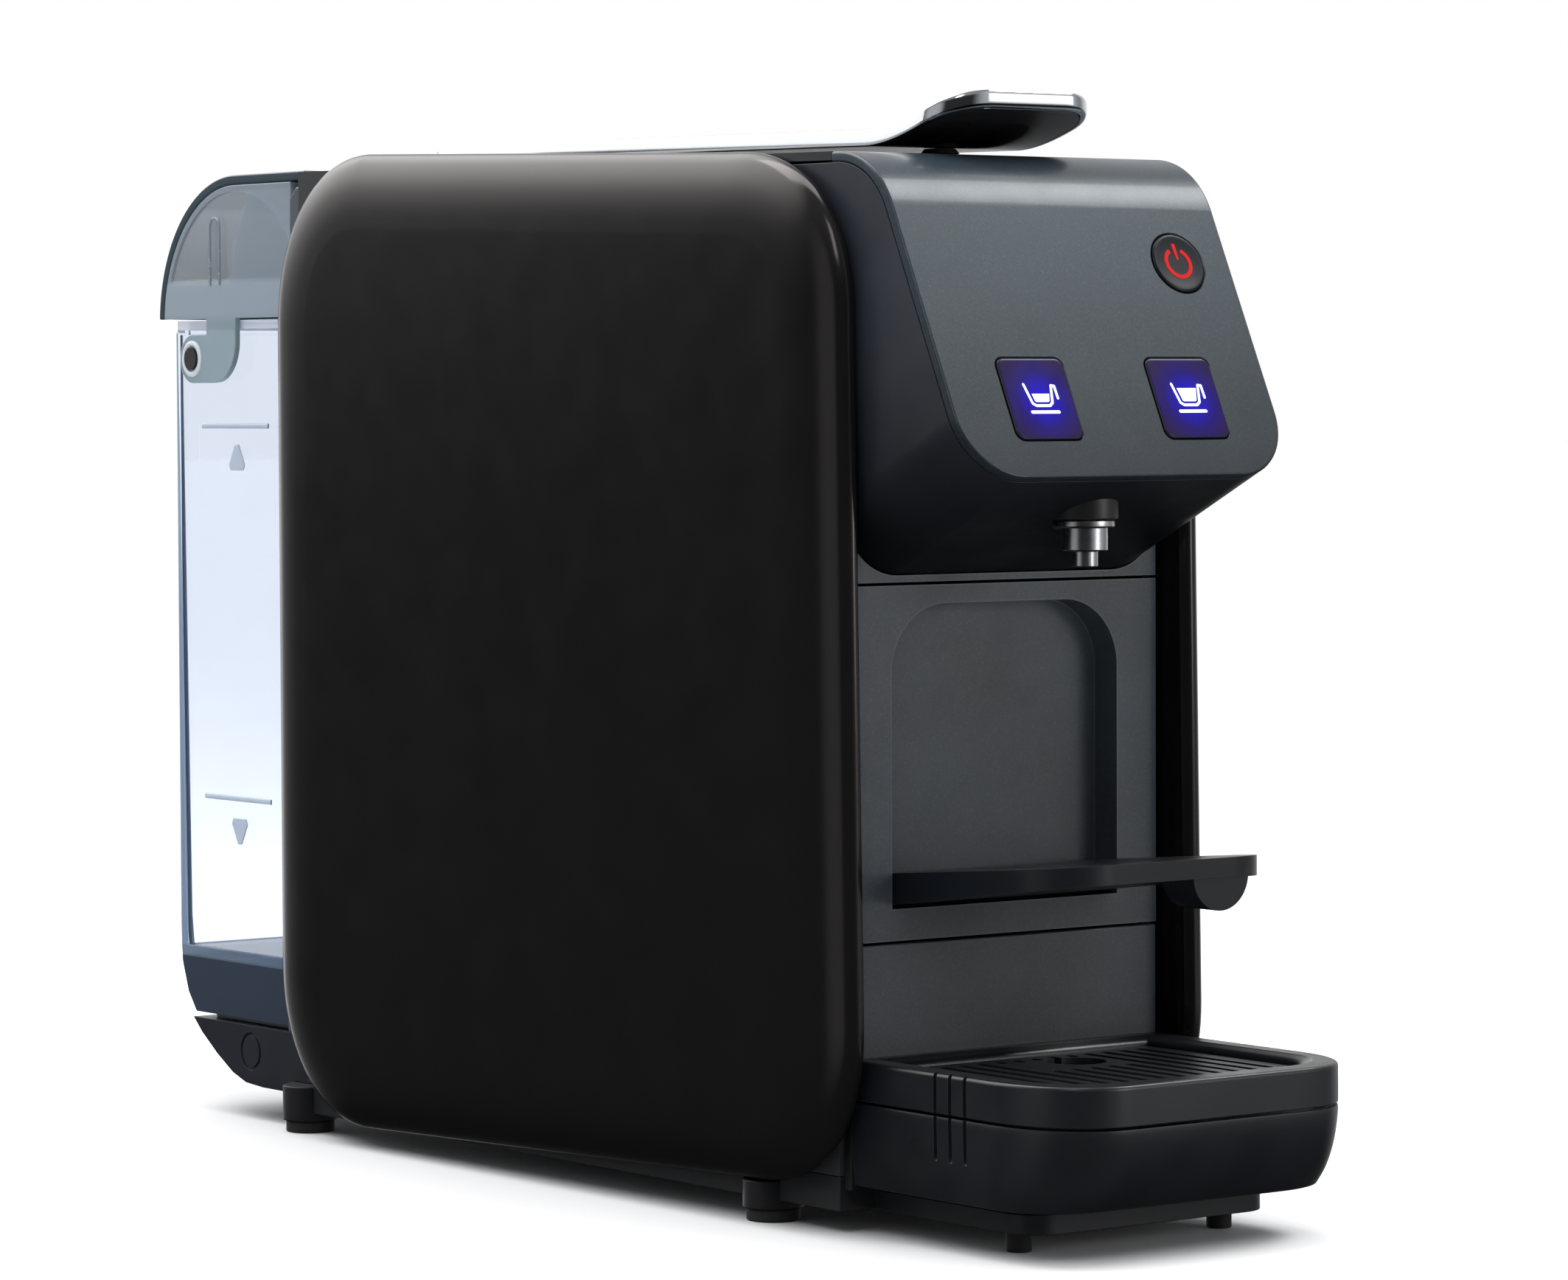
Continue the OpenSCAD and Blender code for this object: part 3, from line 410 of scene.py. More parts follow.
def dress(node, width):
    """A copy of a CAD part with true faces and softly rounded edges, standing for it."""
    bm = bmesh.new()
    bm.from_mesh(NODES[node].data)
    bmesh.ops.remove_doubles(bm, verts=bm.verts, dist=2e-6)
    bmesh.ops.dissolve_degenerate(bm, dist=1e-6, edges=bm.edges)
    bmesh.ops.dissolve_limit(bm, angle_limit=math.radians(0.4), verts=bm.verts, edges=bm.edges)
    limit = math.radians(SHARP_ANGLE)
    sharp = [e for e in bm.edges if len(e.link_faces) == 2 and e.calc_face_angle(0) > limit
             and e.calc_length() > width * MM * 0.9]
    if width:
        bmesh.ops.bevel(bm, geom=sharp, offset=width * MM, segments=EDGE_STEPS, profile=0.5,
                        affect="EDGES", clamp_overlap=True, harden_normals=False)
    bmesh.ops.remove_doubles(bm, verts=bm.verts, dist=1e-6)
    mesh = bpy.data.meshes.new(node + "_finish")
    bm.to_mesh(mesh)
    bm.free()
    return stand_in(node, mesh)


def stand_in(node, mesh):
    """A finished mesh that replaces a CAD part and takes its body and slot."""
    smooth(mesh, 40)
    obj = link(node + "_finish", mesh, body_of(node), [MATS[SLOT[node]]])
    normals = obj.modifiers.new("normals", "WEIGHTED_NORMAL")
    normals.keep_sharp = True
    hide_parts(node)
    return obj


def quads(name, rings, caps=(True, True)):
    """A skin over closed rings of points; caps says which of the two ends get a face."""
    n = len(rings[0])
    faces = [(i * n + k, i * n + (k + 1) % n, (i + 1) * n + (k + 1) % n, (i + 1) * n + k)
             for i in range(len(rings) - 1) for k in range(n)]
    if caps[0]:
        faces.append(tuple(range(n - 1, -1, -1)))
    if caps[1]:
        faces.append(tuple((len(rings) - 1) * n + k for k in range(n)))
    mesh = bpy.data.meshes.new(name)
    mesh.from_pydata([p for r in rings for p in r], [], faces)
    mesh.update()
    outward(mesh)
    return mesh


def weld(mesh):
    """Joins points that lie on each other."""
    bm = bmesh.new()
    bm.from_mesh(mesh)
    bmesh.ops.remove_doubles(bm, verts=bm.verts, dist=2e-6)
    bmesh.ops.recalc_face_normals(bm, faces=bm.faces)
    bm.to_mesh(mesh)
    bm.free()


def outward(mesh):
    bm = bmesh.new()
    bm.from_mesh(mesh)
    bmesh.ops.recalc_face_normals(bm, faces=bm.faces)
    bm.to_mesh(mesh)
    bm.free()


def ladder(name, path, place, rings):
    """A closed solid over a strip that is symmetric in x.

    path(d) gives the right side's (x, u) points pulled in by d, place(x, u, depth) puts a point,
    and rings are (d, depth) from one face to the other.
    """
    points, n = [], 0
    for d, depth in rings:
        right = path(d)
        n = len(right)
        points += [place(x, u, depth) for x, u in right]
        points += [place(-x, u, depth) for x, u in reversed(right)]
    m = 2 * n
    faces = [(i * m + k, i * m + (k + 1) % m, (i + 1) * m + (k + 1) % m, (i + 1) * m + k)
             for i in range(len(rings) - 1) for k in range(m)]
    for base in (0, (len(rings) - 1) * m):
        faces += [(base + k, base + k + 1, base + m - 2 - k, base + m - 1 - k)
                  for k in range(n - 1)]
    mesh = bpy.data.meshes.new(name)
    mesh.from_pydata(points, [], faces)
    mesh.update()
    outward(mesh)
    return mesh


def carve(mesh, *cutters):
    """The mesh with the cutter meshes taken away."""
    obj = bpy.data.objects.new("carving", mesh)
    bpy.context.scene.collection.objects.link(obj)
    tools = []
    for c in cutters:
        tool = bpy.data.objects.new("cutter", c)
        bpy.context.scene.collection.objects.link(tool)
        mod = obj.modifiers.new("cut", "BOOLEAN")
        mod.operation, mod.object, mod.solver = "DIFFERENCE", tool, "EXACT"
        tools.append(tool)
    bpy.context.view_layer.update()
    out = bpy.data.meshes.new_from_object(obj.evaluated_get(bpy.context.evaluated_depsgraph_get()))
    for o in [obj, *tools]:
        bpy.data.objects.remove(o)
    weld(out)
    return out


def arc(cx, cy, rx, ry, a0, a1, n, power=2.0):
    """Points from angle a0 to a1; a power above 2 makes the corner squarer."""
    out = []
    for i in range(n + 1):
        a = math.radians(a0 + (a1 - a0) * i / n)
        c, q = math.cos(a), math.sin(a)
        out.append((cx + rx * math.copysign(abs(c) ** (2 / power), c),
                    cy + ry * math.copysign(abs(q) ** (2 / power), q)))
    return out


def blend_profile(points, steps):
    """A smooth curve through profile points."""
    out = []
    for i in range(len(points) - 1):
        a, b, c, d = (points[min(max(j, 0), len(points) - 1)] for j in (i - 1, i, i + 1, i + 2))
        for k in range(steps):
            t = k / steps
            out.append(tuple(
                0.5 * (2 * b[j] + (c[j] - a[j]) * t
                       + (2 * a[j] - 5 * b[j] + 4 * c[j] - d[j]) * t * t
                       + (3 * b[j] - a[j] - 3 * c[j] + d[j]) * t ** 3) for j in (0, 1)))
    return out + [points[-1]]


# side panels: a soft rectangle that swells to a flat face
def panel_outline(d):
    return (arc(212, 48.5, 41.6 - d, 42.7 - d, 270, 360, 26, 2.1)
            + arc(208, 225, 45.7 - d, 48 - d, 0, 90, 26, 2.15)
            + arc(40, 225, 47.5 - d, 42.4 - d, 90, 180, 26, 2.3)
            + arc(30, 52, 40.5 - d, 40.5 - d, 180, 270, 26, 2.2))


# (pulled in by, share of the full swell) from the rim to the flat middle
PILLOW = [(2.2, 0), (0.4, 0.16), (0, 0.34), (0.9, 0.55), (3.2, 0.75), (7.5, 0.9), (13.5, 0.975),
          (21, 1)]
for side, name in ((-1, "left_panel"), (1, "right_panel")):
    rings = [[at(side * 52.6, y, z) for y, z in panel_outline(6)]]
    for d, share in blend_profile(PILLOW, 4):
        x = side * (51.6 + 8.4 * min(1, max(0, share)))
        rings.append([at(x, y, z) for y, z in panel_outline(max(0, d))])
    rings.append([at(side * 60, y, z) for y, z in panel_outline(26)])
    stand_in(name, quads(name + "_shell", rings))

# lever: chrome cap and black underside, level behind and rising to the finger lip
LIP0, LIP1, RISE = 25, -10.5, 9  # where the finger lip starts and ends, and how far it rises
LEVER_TOP, LEVER_SLOPE = 273.4, 0.015  # height where the lip starts, and the slope behind it


def lever_top(y):
    t = max(0, (LIP0 - y) / (LIP0 - LIP1))
    return LEVER_TOP + max(0, y - LIP0) * LEVER_SLOPE + RISE * t * t * (1.6 - 0.6 * t)


def lever_side(d):
    half, r, y0, y1 = 25 - d, 13.5 - d, LIP1 + d, 230 - d
    turns = [math.pi / 2 * i / 14 for i in range(15)]
    front = [(half - r + r * math.sin(a), y0 + r - r * math.cos(a)) for a in turns]
    rear = [(half - r + r * math.cos(a), y1 - r + r * math.sin(a)) for a in turns]
    sides = [(half, y0 + r + (30 - y0 - r) * i / 24) for i in range(1, 25)]
    return front + sides + [(half, 30 + (y1 - r - 30) * i / 12) for i in range(1, 12)] + rear


def on_lever(x, y, depth):
    return at(x, y, lever_top(y) - depth)


skin = ladder("lever_cap", lever_side, on_lever,
              [(1.75, 1.95), (1.75, 4.0), (1.45, 4.4), (0.7, 4.4), (0.2, 4.15), (0, 3.6), (0, 1.5),
               (0.12, 0.85), (0.5, 0.3), (1.05, 0.05), (1.7, 0)])
chrome = stand_in("lever_skin", skin)
dress("lever_carrier", 0)

# control face: bends over the brow to the top, with openings for the buttons
# its tilt, its length up to the brow, and the brow's radius and centre (y, z)
TILT, LEN, R_BROW, BROW = math.radians(25.3), 72.8, 24, (1.8, 242.4)
OUT = Vector((0, -math.cos(TILT), math.sin(TILT)))
RIDGE = (BROW[0] - R_BROW * math.cos(TILT), BROW[1] + R_BROW * math.sin(TILT))
ARC = R_BROW * (math.pi / 2 - TILT)


def on_brow(x, u, depth):
    """u runs up the face from its lower edge, over the brow and along the top."""
    if u <= LEN:
        s = LEN - u
        y, z = RIDGE[0] - s * math.sin(TILT), RIDGE[1] - s * math.cos(TILT)
        return at(x, y + depth * math.cos(TILT), z - depth * math.sin(TILT))
    if u <= LEN + ARC:
        a = math.pi - TILT - (u - LEN) / R_BROW
        r = R_BROW - depth
        return at(x, BROW[0] + r * math.cos(a), BROW[1] + r * math.sin(a))
    return at(x, BROW[0] + u - LEN - ARC, BROW[1] + R_BROW - depth)


def cover_side(d):
    half, r, top = 51.2 - d, 17 - d, LEN + ARC + 2.2
    turns = [math.pi / 2 * i / 20 for i in range(21)]
    low = [(half - r + r * math.sin(a), d + r - r * math.cos(a)) for a in turns]
    straight = [r + d + (LEN - r - d) * i / 12 for i in range(1, 13)]
    brow = [LEN + ARC * i / 30 for i in range(1, 31)]
    return low + [(half, u) for u in straight + brow + [top]]


def on_face(x, v, h):
    """x across the control face, v up it from the ridge, h out of it."""
    p = at(x, RIDGE[0] + v * math.sin(TILT), RIDGE[1] + v * math.cos(TILT))
    return p + OUT * (h * MM)


def plate_outline(w, h, r):
    """A rectangle with rounded corners."""
    pts = []
    for cx, cy, a in ((1, 1, 0), (-1, 1, 90), (-1, -1, 180), (1, -1, 270)):
        pts += arc(cx * (w / 2 - r), cy * (h / 2 - r), r, r, a, a + 90, 8)
    return pts


def face_plug(name, cx, cy, outline, profile):
    """A stack of rings on the control face: profile is (pulled in by, height)."""
    return quads(name, [[on_face(cx + x, cy + y, h) for x, y in outline(d)] for d, h in profile])


def disc(r):
    """A circle of 64 points that is pulled in by d."""
    return lambda d: arc(0, 0, r - d, r - d, 0, 360 * 63 / 64, 63)


BREW_AT, POWER_AT = ((-23.45, -51.85), (23.45, -51.85)), (34.3, -14.7)
HOLE = [(0, -6), (0, -0.25), (-0.35, 0.1), (-0.35, 4)]  # an opening with a softened edge
cover = ladder("cover_sheet", cover_side, on_brow,
               [(0.3, 2.5), (0, 2.2), (0, 0.75), (0.1, 0.38), (0.35, 0.1), (0.75, 0)])
holes = [face_plug("hole", *c, lambda d: plate_outline(21.2 - 2 * d, 22.2 - 2 * d, 2.6 - d), HOLE)
         for c in BREW_AT]
holes.append(face_plug("hole", *POWER_AT, disc(8.3), HOLE))
stand_in("front_cover", carve(cover, *holes))

# head shell: a channel behind the cover, from the front wall back to the frame
SHEET, HEAD_BACK = 2.5, 50.2  # its wall thickness and how far back it reaches
SEAM = (2.62, 162.7)  # depth of its rim behind the cover, and height of the seam on the front wall


def shell_side(d):
    rear = [(51.2 - d, LEN + ARC + (HEAD_BACK - BROW[0]) * i / 8) for i in range(1, 9)]
    return cover_side(d)[:-1] + rear


def shell_back(x, u, depth):
    """The point straight behind a rim point, where the head meets the front wall or the frame."""
    p = on_brow(x, u, depth)
    y, z = (p.y - WALL) / MM, p.z / MM
    run = (HEAD_BACK - y) / math.cos(TILT)
    if z - run * math.sin(TILT) < SEAM[1]:
        run = max((z - SEAM[1]) / math.sin(TILT), -y / math.cos(TILT))
    return at(x, y + run * math.cos(TILT), z - run * math.sin(TILT))


def shell_mesh():
    rings = []
    for d, depth, place in ((SHEET, 0, on_brow), (0.3, 0, on_brow), (0.08, 0.1, on_brow),
                            (0, 0.35, on_brow), (0, 0, shell_back), (SHEET, 0, shell_back)):
        right, deep = shell_side(d), SEAM[0] + depth
        rings.append([place(x, u, deep) for x, u in reversed(right)]
                     + [place(-x, u, deep) for x, u in right])
    m = len(rings[0])
    faces = [(i * m + k, i * m + k + 1, (i + 1) % 6 * m + k + 1, (i + 1) % 6 * m + k)
             for i in range(6) for k in range(m - 1)]
    faces += [tuple(i * m + k for i in range(6)) for k in (0, m - 1)]
    mesh = bpy.data.meshes.new("head_channel")
    mesh.from_pydata([p for r in rings for p in r], [], faces)
    outward(mesh)
    return mesh


bore = quads("bore", [[at(x, -31 + y, z) for x, y in disc(8.3)(0)] for z in (150, 200)])
stand_in("head_shell", carve(shell_mesh(), bore))


# brew buttons: black caps with a lit window, a cup and a bar
def glow(name, centre):
    """A dark window that glows blue at its middle and fades outwards."""
    t = Tree(name)
    away = t.add("ShaderNodeVectorMath", operation="DISTANCE")
    away.inputs[1].default_value = centre
    t.link(t.coord, away.inputs[0])
    d = t.spread(away.outputs["Value"], 0, 1, 0, 0.0145)
    lit = t.ramp(d, [(0.0, (0.006, 0.0, 0.62)), (0.27, (0.007, 0.0, 0.45)),
                     (0.52, (0.011, 0.002, 0.17)), (0.78, (0.016, 0.006, 0.075)),
                     (1.0, (0.015, 0.008, 0.042))])
    t.link(lit, t.bsdf.inputs["Emission Color"])
    t.link(t.ramp(t.noise(500, 3), [(0.3, (0.002, 0.001, 0.004)), (0.7, (0.003, 0.002, 0.006))]),
           t.bsdf.inputs["Base Color"])
    t.link(t.spread(t.noise(120, 3), 0.2, 0.26), t.bsdf.inputs["Roughness"])
    t.bump((t.noise(1500, 2), 0.001 * MM))
    t.set(Emission_Strength=1.0, Specular_IOR_Level=0.15)
    return t.mat


def lamp(name, color, strength):
    t = Tree(name)
    shade = t.ramp(t.noise(700, 2), [(0.3, [c * 0.92 for c in color]), (0.7, color)])
    t.link(shade, t.bsdf.inputs["Emission Color"])
    t.link(t.mix(0.85, shade, (0.01, 0.01, 0.01)), t.bsdf.inputs["Base Color"])
    t.link(t.spread(t.noise(300, 3), 0.35, 0.45), t.bsdf.inputs["Roughness"])
    t.set(Emission_Strength=strength, Specular_IOR_Level=0.05)
    return t.mat


def stroke(points, width):
    """A flat line with round ends and corners, as outlines in face coordinates."""
    shapes = []
    for (x0, y0), (x1, y1) in zip(points, points[1:]):
        a = math.degrees(math.atan2(y1 - y0, x1 - x0))
        shapes.append(arc(x1, y1, width / 2, width / 2, a - 90, a + 90, 8)
                      + arc(x0, y0, width / 2, width / 2, a + 90, a + 270, 8))
    return shapes


def sign(name, centre, shapes, low, high, body, mat):
    """Flat lit shapes standing just proud of a button."""
    bm = bmesh.new()
    for k, shape in enumerate(shapes):
        lift = high + 0.003 * k
        top = [bm.verts.new(on_face(centre[0] + x, centre[1] + y, lift)) for x, y in shape]
        foot = [bm.verts.new(on_face(centre[0] + x, centre[1] + y, low)) for x, y in shape]
        bm.faces.new(top)
        bm.faces.new(foot[::-1])
        for i in range(len(top)):
            j = (i + 1) % len(top)
            bm.faces.new((top[i], foot[i], foot[j], top[j]))
    bmesh.ops.recalc_face_normals(bm, faces=bm.faces)
    mesh = bpy.data.meshes.new(name)
    bm.to_mesh(mesh)
    bm.free()
    return link(name, mesh, body, [mat])


# the cup's line, from its left edge down, round and up to its ear
CUP = [(-4.0, 3.7), (-2.8, -1.35), (-1.8, -1.95), (2.4, -1.95), (3.4, -1.15), (4.4, 3.35),
       (5.4, 3.25), (5.5, 0.05)]
WHITE = lamp("lit_white", (0.93, 0.97, 1.0), 1.25)
RED = lamp("lit_red", (0.72, 0.004, 0.004), 0.8)
for (cx, cy), side, fill in zip(BREW_AT, ("left", "right"), (1.2, 2.6)):
    node = side + "_brew_button"
    cap = face_plug(node, cx, cy,
                    lambda d: plate_outline(20.6 - 2 * d, 21.6 - 2 * d, max(0.8, 2.3 - d)),
                    [(0, -3.4), (0, -0.05), (0.08, 0.12), (0.28, 0.26), (0.6, 0.3), (0.75, 0.3)])
    stand_in(node, cap)
    cap.materials.append(glow(side + "_window", on_face(cx + 0.6, cy - 0.6, 0.3)))
    for f in cap.polygons:
        if f.normal.dot(OUT) > 0.99:
            f.material_index = 1
    lean = fill * 0.26
    inside = [(-2.0 - lean, fill), (2.85 + lean, fill), (2.6, -0.75), (2.2, -1.0), (-1.5, -1.0),
              (-1.85, -0.75)]
    bar = stroke([(-3.7, -3.66), (4.6, -3.66)], 0.85)
    sign(side + "_cup", (cx, cy), stroke(CUP, 0.75) + [inside] + bar, 0.28, 0.31, side + "_button",
         WHITE)

cap = face_plug("power_cap", *POWER_AT, disc(8),
                [(0, -3.4), (0, -0.1), (0.1, 0.1), (0.35, 0.26), (0.7, 0.3), (1.6, 0.22),
                 (3.4, 0.12), (6, 0.08)])
stand_in("power_button", cap)
ring = arc(0, 0, 4.3, 4.3, 118, 422, 40) + arc(0, 0, 3.25, 3.25, 422, 118, 40)
sign("power_symbol", POWER_AT, [ring], 0.05, 0.19, "power_button", RED)
sign("power_stroke", POWER_AT, [[(-0.65, 5.3), (0.5, 5.3), (0.4, 0.9), (-0.2, 0.9)]], 0.05, 0.2,
     "power_button", RED)


# drip tray: bowl and rim with round front corners
def tray_outline(d, side=None):
    """Pulled in by d in front and by side at each side."""
    x = d if side is None else side
    return ([(-49.5 + x, -0.4)] + arc(-27, -53.5, 22.5 - x, 29 - d, 180, 270, 24, 2.3)
            + arc(27, -53.5, 22.5 - x, 29 - d, 270, 360, 24, 2.3) + [(49.5 - x, -0.4)])


def grille_outline(d):
    r, half, y0, y1 = 15 - d, 41 - d, -73.5 + d, -6 - d
    return ([(-half, y1)] + arc(-half + r, y0 + r, r, r, 180, 270, 18)
            + arc(half - r, y0 + r, r, r, 270, 360, 18) + [(half, y1)])


def flat(outline, z):
    return [at(x, y, z) for x, y in outline]


SKIRT = [(0, 33.2), (0.4, 29.5), (1.5, 25), (3.4, 20.5), (6, 16.5), (9.6, 12.8)]
bowl = [flat(tray_outline(d), z) for d, z in [(3.0, 31.5), (2.4, 33.0), (0.5, 33.2), (0.12, 33.1)]]
bowl += [flat(tray_outline(d, d / 10), z) for d, z in blend_profile(SKIRT, 4)[1:]]
bowl += [flat(tray_outline(d, x), z)
         for d, x, z in ((9.9, 1.3, 12.6), (10.6, 2, 12.4), (12.5, 4, 12.35))]
rim = [flat(tray_outline(d), z) for d, z in
       [(4, 33.8), (0.25, 33.8), (0, 34.05), (0, 42.5), (0.1, 43.05), (0.35, 43.45), (0.75, 43.66),
        (1.3, 43.7)]]
cove = [flat(grille_outline(d), z) for d, z in
        [(-3.1, 46), (-2.9, 43.75), (-2.55, 43.45), (-1.5, 42.9), (-0.55, 42.2), (-0.05, 41.3),
         (0, 38.5)]]
well = [flat(grille_outline(2.6), z) for z in (39, 30)]
grooves = []  # three upright grooves on each side
for side in (-1, 1):
    for y in (-33.5, -39.2, -44.9):
        rings = [[at(side * (x + h), y + v, z) for h, v in
                  ((-0.35, -0.35), (0, -0.6), (3, -0.75), (3, 0.75), (0, 0.6), (-0.35, 0.35))]
                 for x, z in ((48.65, 60), (48.65, 33), (48.5, 24), (48.9, 22.9), (49.5, 22.3))]
        grooves.append(rings)


def groove_cutters():
    return [quads("groove", rings) for rings in grooves]


stand_in("tray_bowl", carve(quads("bowl", bowl), *groove_cutters()))
stand_in("tray_frame",
         carve(quads("rim", rim), quads("cove", cove), quads("well", well), *groove_cutters()))


# valve spring: round wire in a coil
def coil(name, centre, radius, wire, low, high, turns):
    rings = []
    for i in range(int(40 * turns) + 1):
        a = 2 * math.pi * i / 40
        z = low + (high - low) * i / (40 * turns)
        rings.append([at(centre[0] + (radius + u) * math.cos(a),
                         centre[1] + (radius + u) * math.sin(a), z + v)
                      for u, v in arc(0, 0, wire, wire, 0, 330, 11)])
    return quads(name, rings)


VALVE_TRAVEL, COIL_LOW, COIL_HIGH, WIRE = 3, 50.3, 59.3, 0.45
spring = stand_in("valve_spring", coil("coil", (0, 284), 4.4, WIRE, COIL_LOW, COIL_HIGH, 4.5))
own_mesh(spring)

# parts that keep their CAD faces and get soft edges
for name, width in {
    "top_cover": 0.5, "back_cover": 0.8, "rear_base": 0.6, "tank_plinth": 0.8, "upper_wall": 0.35,
    "lower_wall": 0.5, "bin_door": 0.6, "cup_shelf": 0.6, "drip_grille": 0.35, "outlet_collar": 0.4,
    "coffee_spout": 0.3, "water_tank": 0.45, "lid_strip": 0.45, "lid_shell": 0.35,
    "base_plate": 0.5, "main_feet": 0.5, "foot_pads": 0.5, "tray_feet": 0.4,
}.items():
    dress(name, width)

# raised level bars and pointers on both sides of the tank, a loop on each cheek of the lid, and a
# rim round its pins
MARK = clear("tank_mark", (0.60, 0.68, 0.78), 0.3, weight=0.55, wave=0.002)
LOOP = clear("lid_loop", (0.24, 0.29, 0.34), 0.25, weight=0.3, wave=0.002)
CLEAR_RIM = clear("lid_rim", (0.85, 0.90, 0.96), 0.1, weight=0.4, wave=0.002)


def ridge(name, path, side, x, width, height, body, mat):
    """A low rounded rib along points (y, z) on a side plane."""
    profile = ((-1, -0.2), (-0.85, 0.6), (-0.5, 0.93), (0, 1), (0.5, 0.93), (0.85, 0.6), (1, -0.2))
    points, n = [], len(path)
    for i, (y, z) in enumerate(path):
        (y0, z0), (y1, z1) = path[max(0, i - 1)], path[min(n - 1, i + 1)]
        size = math.hypot(y1 - y0, z1 - z0)
        ny, nz = -(z1 - z0) / size, (y1 - y0) / size
        points.append([at(side * (x + h * height), y + ny * w * width / 2, z + nz * w * width / 2)
                       for w, h in profile])
    mesh = quads(name, points)
    smooth(mesh, 60)
    return link(name, mesh, body, [mat])


def pointer(name, side, y, z, size, turn):
    """A raised three-cornered mark beside a level bar, pointing up (turn 1) or down (turn -1)."""
    rings, turns = [], [2 * math.pi * k / 3 + d for k in range(3) for d in (-0.22, 0, 0.22)]
    for grow, lift in ((0.3, -0.1), (0.3, 0.12), (0, 0.22)):
        r = size + grow
        rings.append([at(side * (46 + lift), y + r * math.sin(a), z + turn * r * math.cos(a))
                      for a in turns])
    link(name, quads(name, rings), "tank", [MARK])


for side, tag in ((-1, "left"), (1, "right")):
    pointer(tag + "_upper_pointer", side, 292.5, 189, 4.2, 1)
    pointer(tag + "_lower_pointer", side, 292.5, 83, 4.2, -1)
    for level, z in (("lower", 91.7), ("upper", 198.7)):
        line = [(275 + 36 * i / 6, z) for i in range(7)]
        ridge(f"{tag}_{level}_bar", line, side, 46.24, 1.5, 0.25, "tank", MARK)
    turns = [math.pi * i / 12 for i in range(13)]
    bend = [(300.1 + 2.6 * math.cos(a), 255.6 + 2.6 * math.sin(a)) for a in turns]
    loop = [(302.7, 239)] + bend + [(297.5, 239)]
    ridge(tag + "_lid_loop", loop, side, 48.2, 0.9, 0.5, "lid", LOOP)
    lip = [[at(side * x, 313.2 + y, 218 + z) for y, z in arc(0, 0, r, r, 0, 352.5, 47)]
           for r, x in ((3.7, 48.1), (3.75, 48.6), (4.0, 48.8), (4.7, 48.8), (5.2, 48.55),
                        (5.3, 48.1))]
    ring = quads(tag + "_pin_rim", lip + lip[:1], caps=(False, False))
    weld(ring)
    smooth(ring, 50)
    link(tag + "_pin_rim", ring, "lid", [CLEAR_RIM])


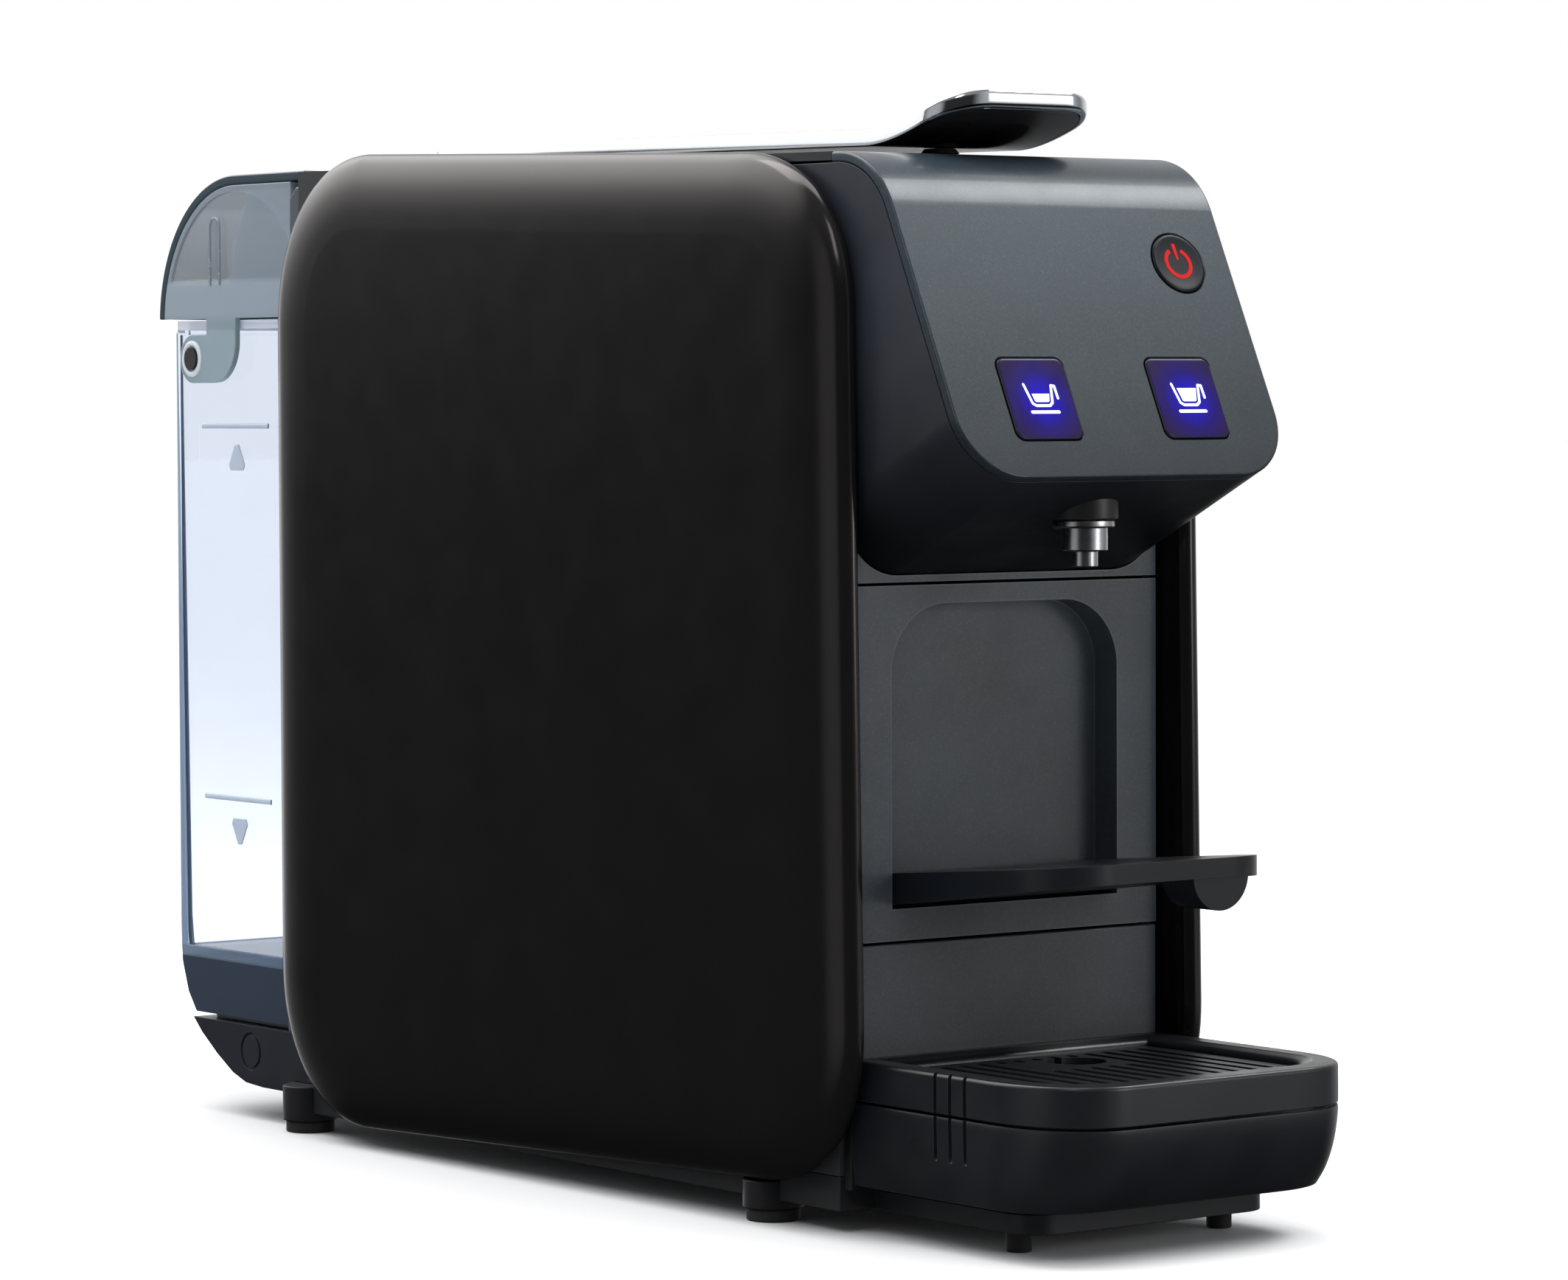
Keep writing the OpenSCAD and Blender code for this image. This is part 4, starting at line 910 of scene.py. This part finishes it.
# ---------------------------------------------------------------- stage and light
def make_stage():
    mesh = bpy.data.meshes.new("floor")
    mesh.from_pydata([(-15, -15, 0), (15, -15, 0), (15, 15, 0), (-15, 15, 0)], [], [(0, 1, 2, 3)])
    floor = bpy.data.objects.new("floor", mesh)
    bpy.context.scene.collection.objects.link(floor)
    t = Tree("floor_white")
    pale = t.ramp(t.noise(3, 2), [(0.3, (0.90, 0.90, 0.90)), (0.7, (0.92, 0.92, 0.92))])
    t.link(pale, t.bsdf.inputs["Base Color"])
    t.set(Roughness=0.7, Specular_IOR_Level=0.2)
    mesh.materials.append(t.mat)
    floor.visible_glossy = False
    world = bpy.data.worlds.new("studio")
    bpy.context.scene.world = world
    world.use_nodes = True
    nt = world.node_tree
    nt.nodes.clear()

    def add(kind, **props):
        n = nt.nodes.new(kind)
        for k, v in props.items():
            setattr(n, k, v)
        return n

    def lobe(direction, start, end, low, high):
        """Strength that rises from low to high as a ray turns towards a direction."""
        dot = add("ShaderNodeVectorMath", operation="DOT_PRODUCT")
        dot.inputs[1].default_value = Vector(direction).normalized()
        nt.links.new(where.outputs["Generated"], dot.inputs[0])
        ramp = add("ShaderNodeMapRange", interpolation_type="SMOOTHSTEP")
        for key, v in (("From Min", start), ("From Max", end), ("To Min", low), ("To Max", high)):
            ramp.inputs[key].default_value = v
        nt.links.new(dot.outputs["Value"], ramp.inputs["Value"])
        return ramp.outputs[0]

    def calc(kind, a, b):
        n = add("ShaderNodeMath", operation=kind)
        nt.links.new(a, n.inputs[0])
        nt.links.new(b, n.inputs[1])
        return n.outputs[0]

    path, where = add("ShaderNodeLightPath"), add("ShaderNodeTexCoord")
    behind = lobe((0.6, 0.8, 0.1), 0.30, 0.95, 0.03, 0.95)
    above = lobe((-0.30, 0.72, 0.62), 0.76, 0.985, 0, 4.2)
    beside = lobe((-0.95, 0.15, 0.02), 0.88, 0.99, 0, 0.5)
    ahead = lobe((0.6, -0.8, 0.05), 0.6, 0.98, 0, 0.5)
    rear = lobe((0.3, 0.95, 0), 0.90, 0.995, 0, 1.2)
    ground = lobe((0, 0, 1), -0.42, -0.06, 0.06, 1)
    dome = lobe((0, 0, 1), 0.15, 0.7, 0, 0.3)
    sky = behind
    for part in (above, beside, ahead, rear, dome):
        sky = calc("ADD", sky, part)
    sky = calc("MULTIPLY", sky, ground)
    soft, gloss, bright = (add("ShaderNodeBackground") for _ in range(3))
    soft.inputs[0].default_value = (0.30, 0.31, 0.33, 1)
    nt.links.new(sky, gloss.inputs[1])
    bright.inputs[0].default_value = (1, 1, 1, 1)
    seen = add("ShaderNodeMath", operation="MAXIMUM")
    nt.links.new(path.outputs["Is Camera Ray"], seen.inputs[0])
    nt.links.new(path.outputs["Is Transmission Ray"], seen.inputs[1])
    first, second = add("ShaderNodeMixShader"), add("ShaderNodeMixShader")
    out = add("ShaderNodeOutputWorld")
    nt.links.new(path.outputs["Is Glossy Ray"], first.inputs[0])
    nt.links.new(soft.outputs[0], first.inputs[1])
    nt.links.new(gloss.outputs[0], first.inputs[2])
    nt.links.new(seen.outputs[0], second.inputs[0])
    nt.links.new(first.outputs[0], second.inputs[1])
    nt.links.new(bright.outputs[0], second.inputs[2])
    nt.links.new(second.outputs[0], out.inputs[0])
    bpy.context.scene.view_settings.view_transform = "Standard"


def softbox(name, place, aim, size, power, only=None, never=None):
    """An area light; only= or never= names the one object that it lights or leaves out."""
    data = bpy.data.lights.new(name, "AREA")
    data.shape, data.size, data.size_y = "RECTANGLE", *size
    data.energy = power
    obj = bpy.data.objects.new(name, data)
    bpy.context.scene.collection.objects.link(obj)
    obj.location = place
    obj.rotation_mode = "QUATERNION"
    obj.rotation_quaternion = (Vector(aim) - Vector(place)).to_track_quat("-Z", "Y")
    if only or never:
        lit = bpy.data.collections.new(name + "_lit")
        lit.objects.link(only or never)
        obj.light_linking.receiver_collection = lit
        if never:
            lit.collection_objects[0].light_linking.link_state = "EXCLUDE"


make_stage()
sun = bpy.data.lights.new("sky", "SUN")
sun.energy, sun.angle = 2.6, math.radians(100)
sky_lamp = bpy.data.objects.new("sky", sun)
bpy.context.scene.collection.objects.link(sky_lamp)
sky_lamp.visible_glossy = False
# name, place, aim, size in metres, power in watts
softbox("brow", (0.86, -0.42, 1.25), (0, -0.15, 0.24), (0.55, 0.5), 9)
softbox("top", (-0.2, 0.25, 1.5), (0, 0, 0.2), (0.7, 1.3), 12, never=chrome)
softbox("front", (0.9, -1.9, 0.5), (0, 0, 0.12), (0.7, 0.8), 7, never=chrome)
softbox("left", (-1.1, -1.0, 1.4), (0, 0, 0.15), (0.4, 0.8), 4)
softbox("chrome_left", (-1.0, 1.35, 0.42), (0, -0.05, 0.27), (1.4, 0.7), 3.6, only=chrome)
softbox("chrome_front", (1.0, -1.3, 0.45), (0, -0.1, 0.27), (1.0, 0.5), 1.4, only=chrome)
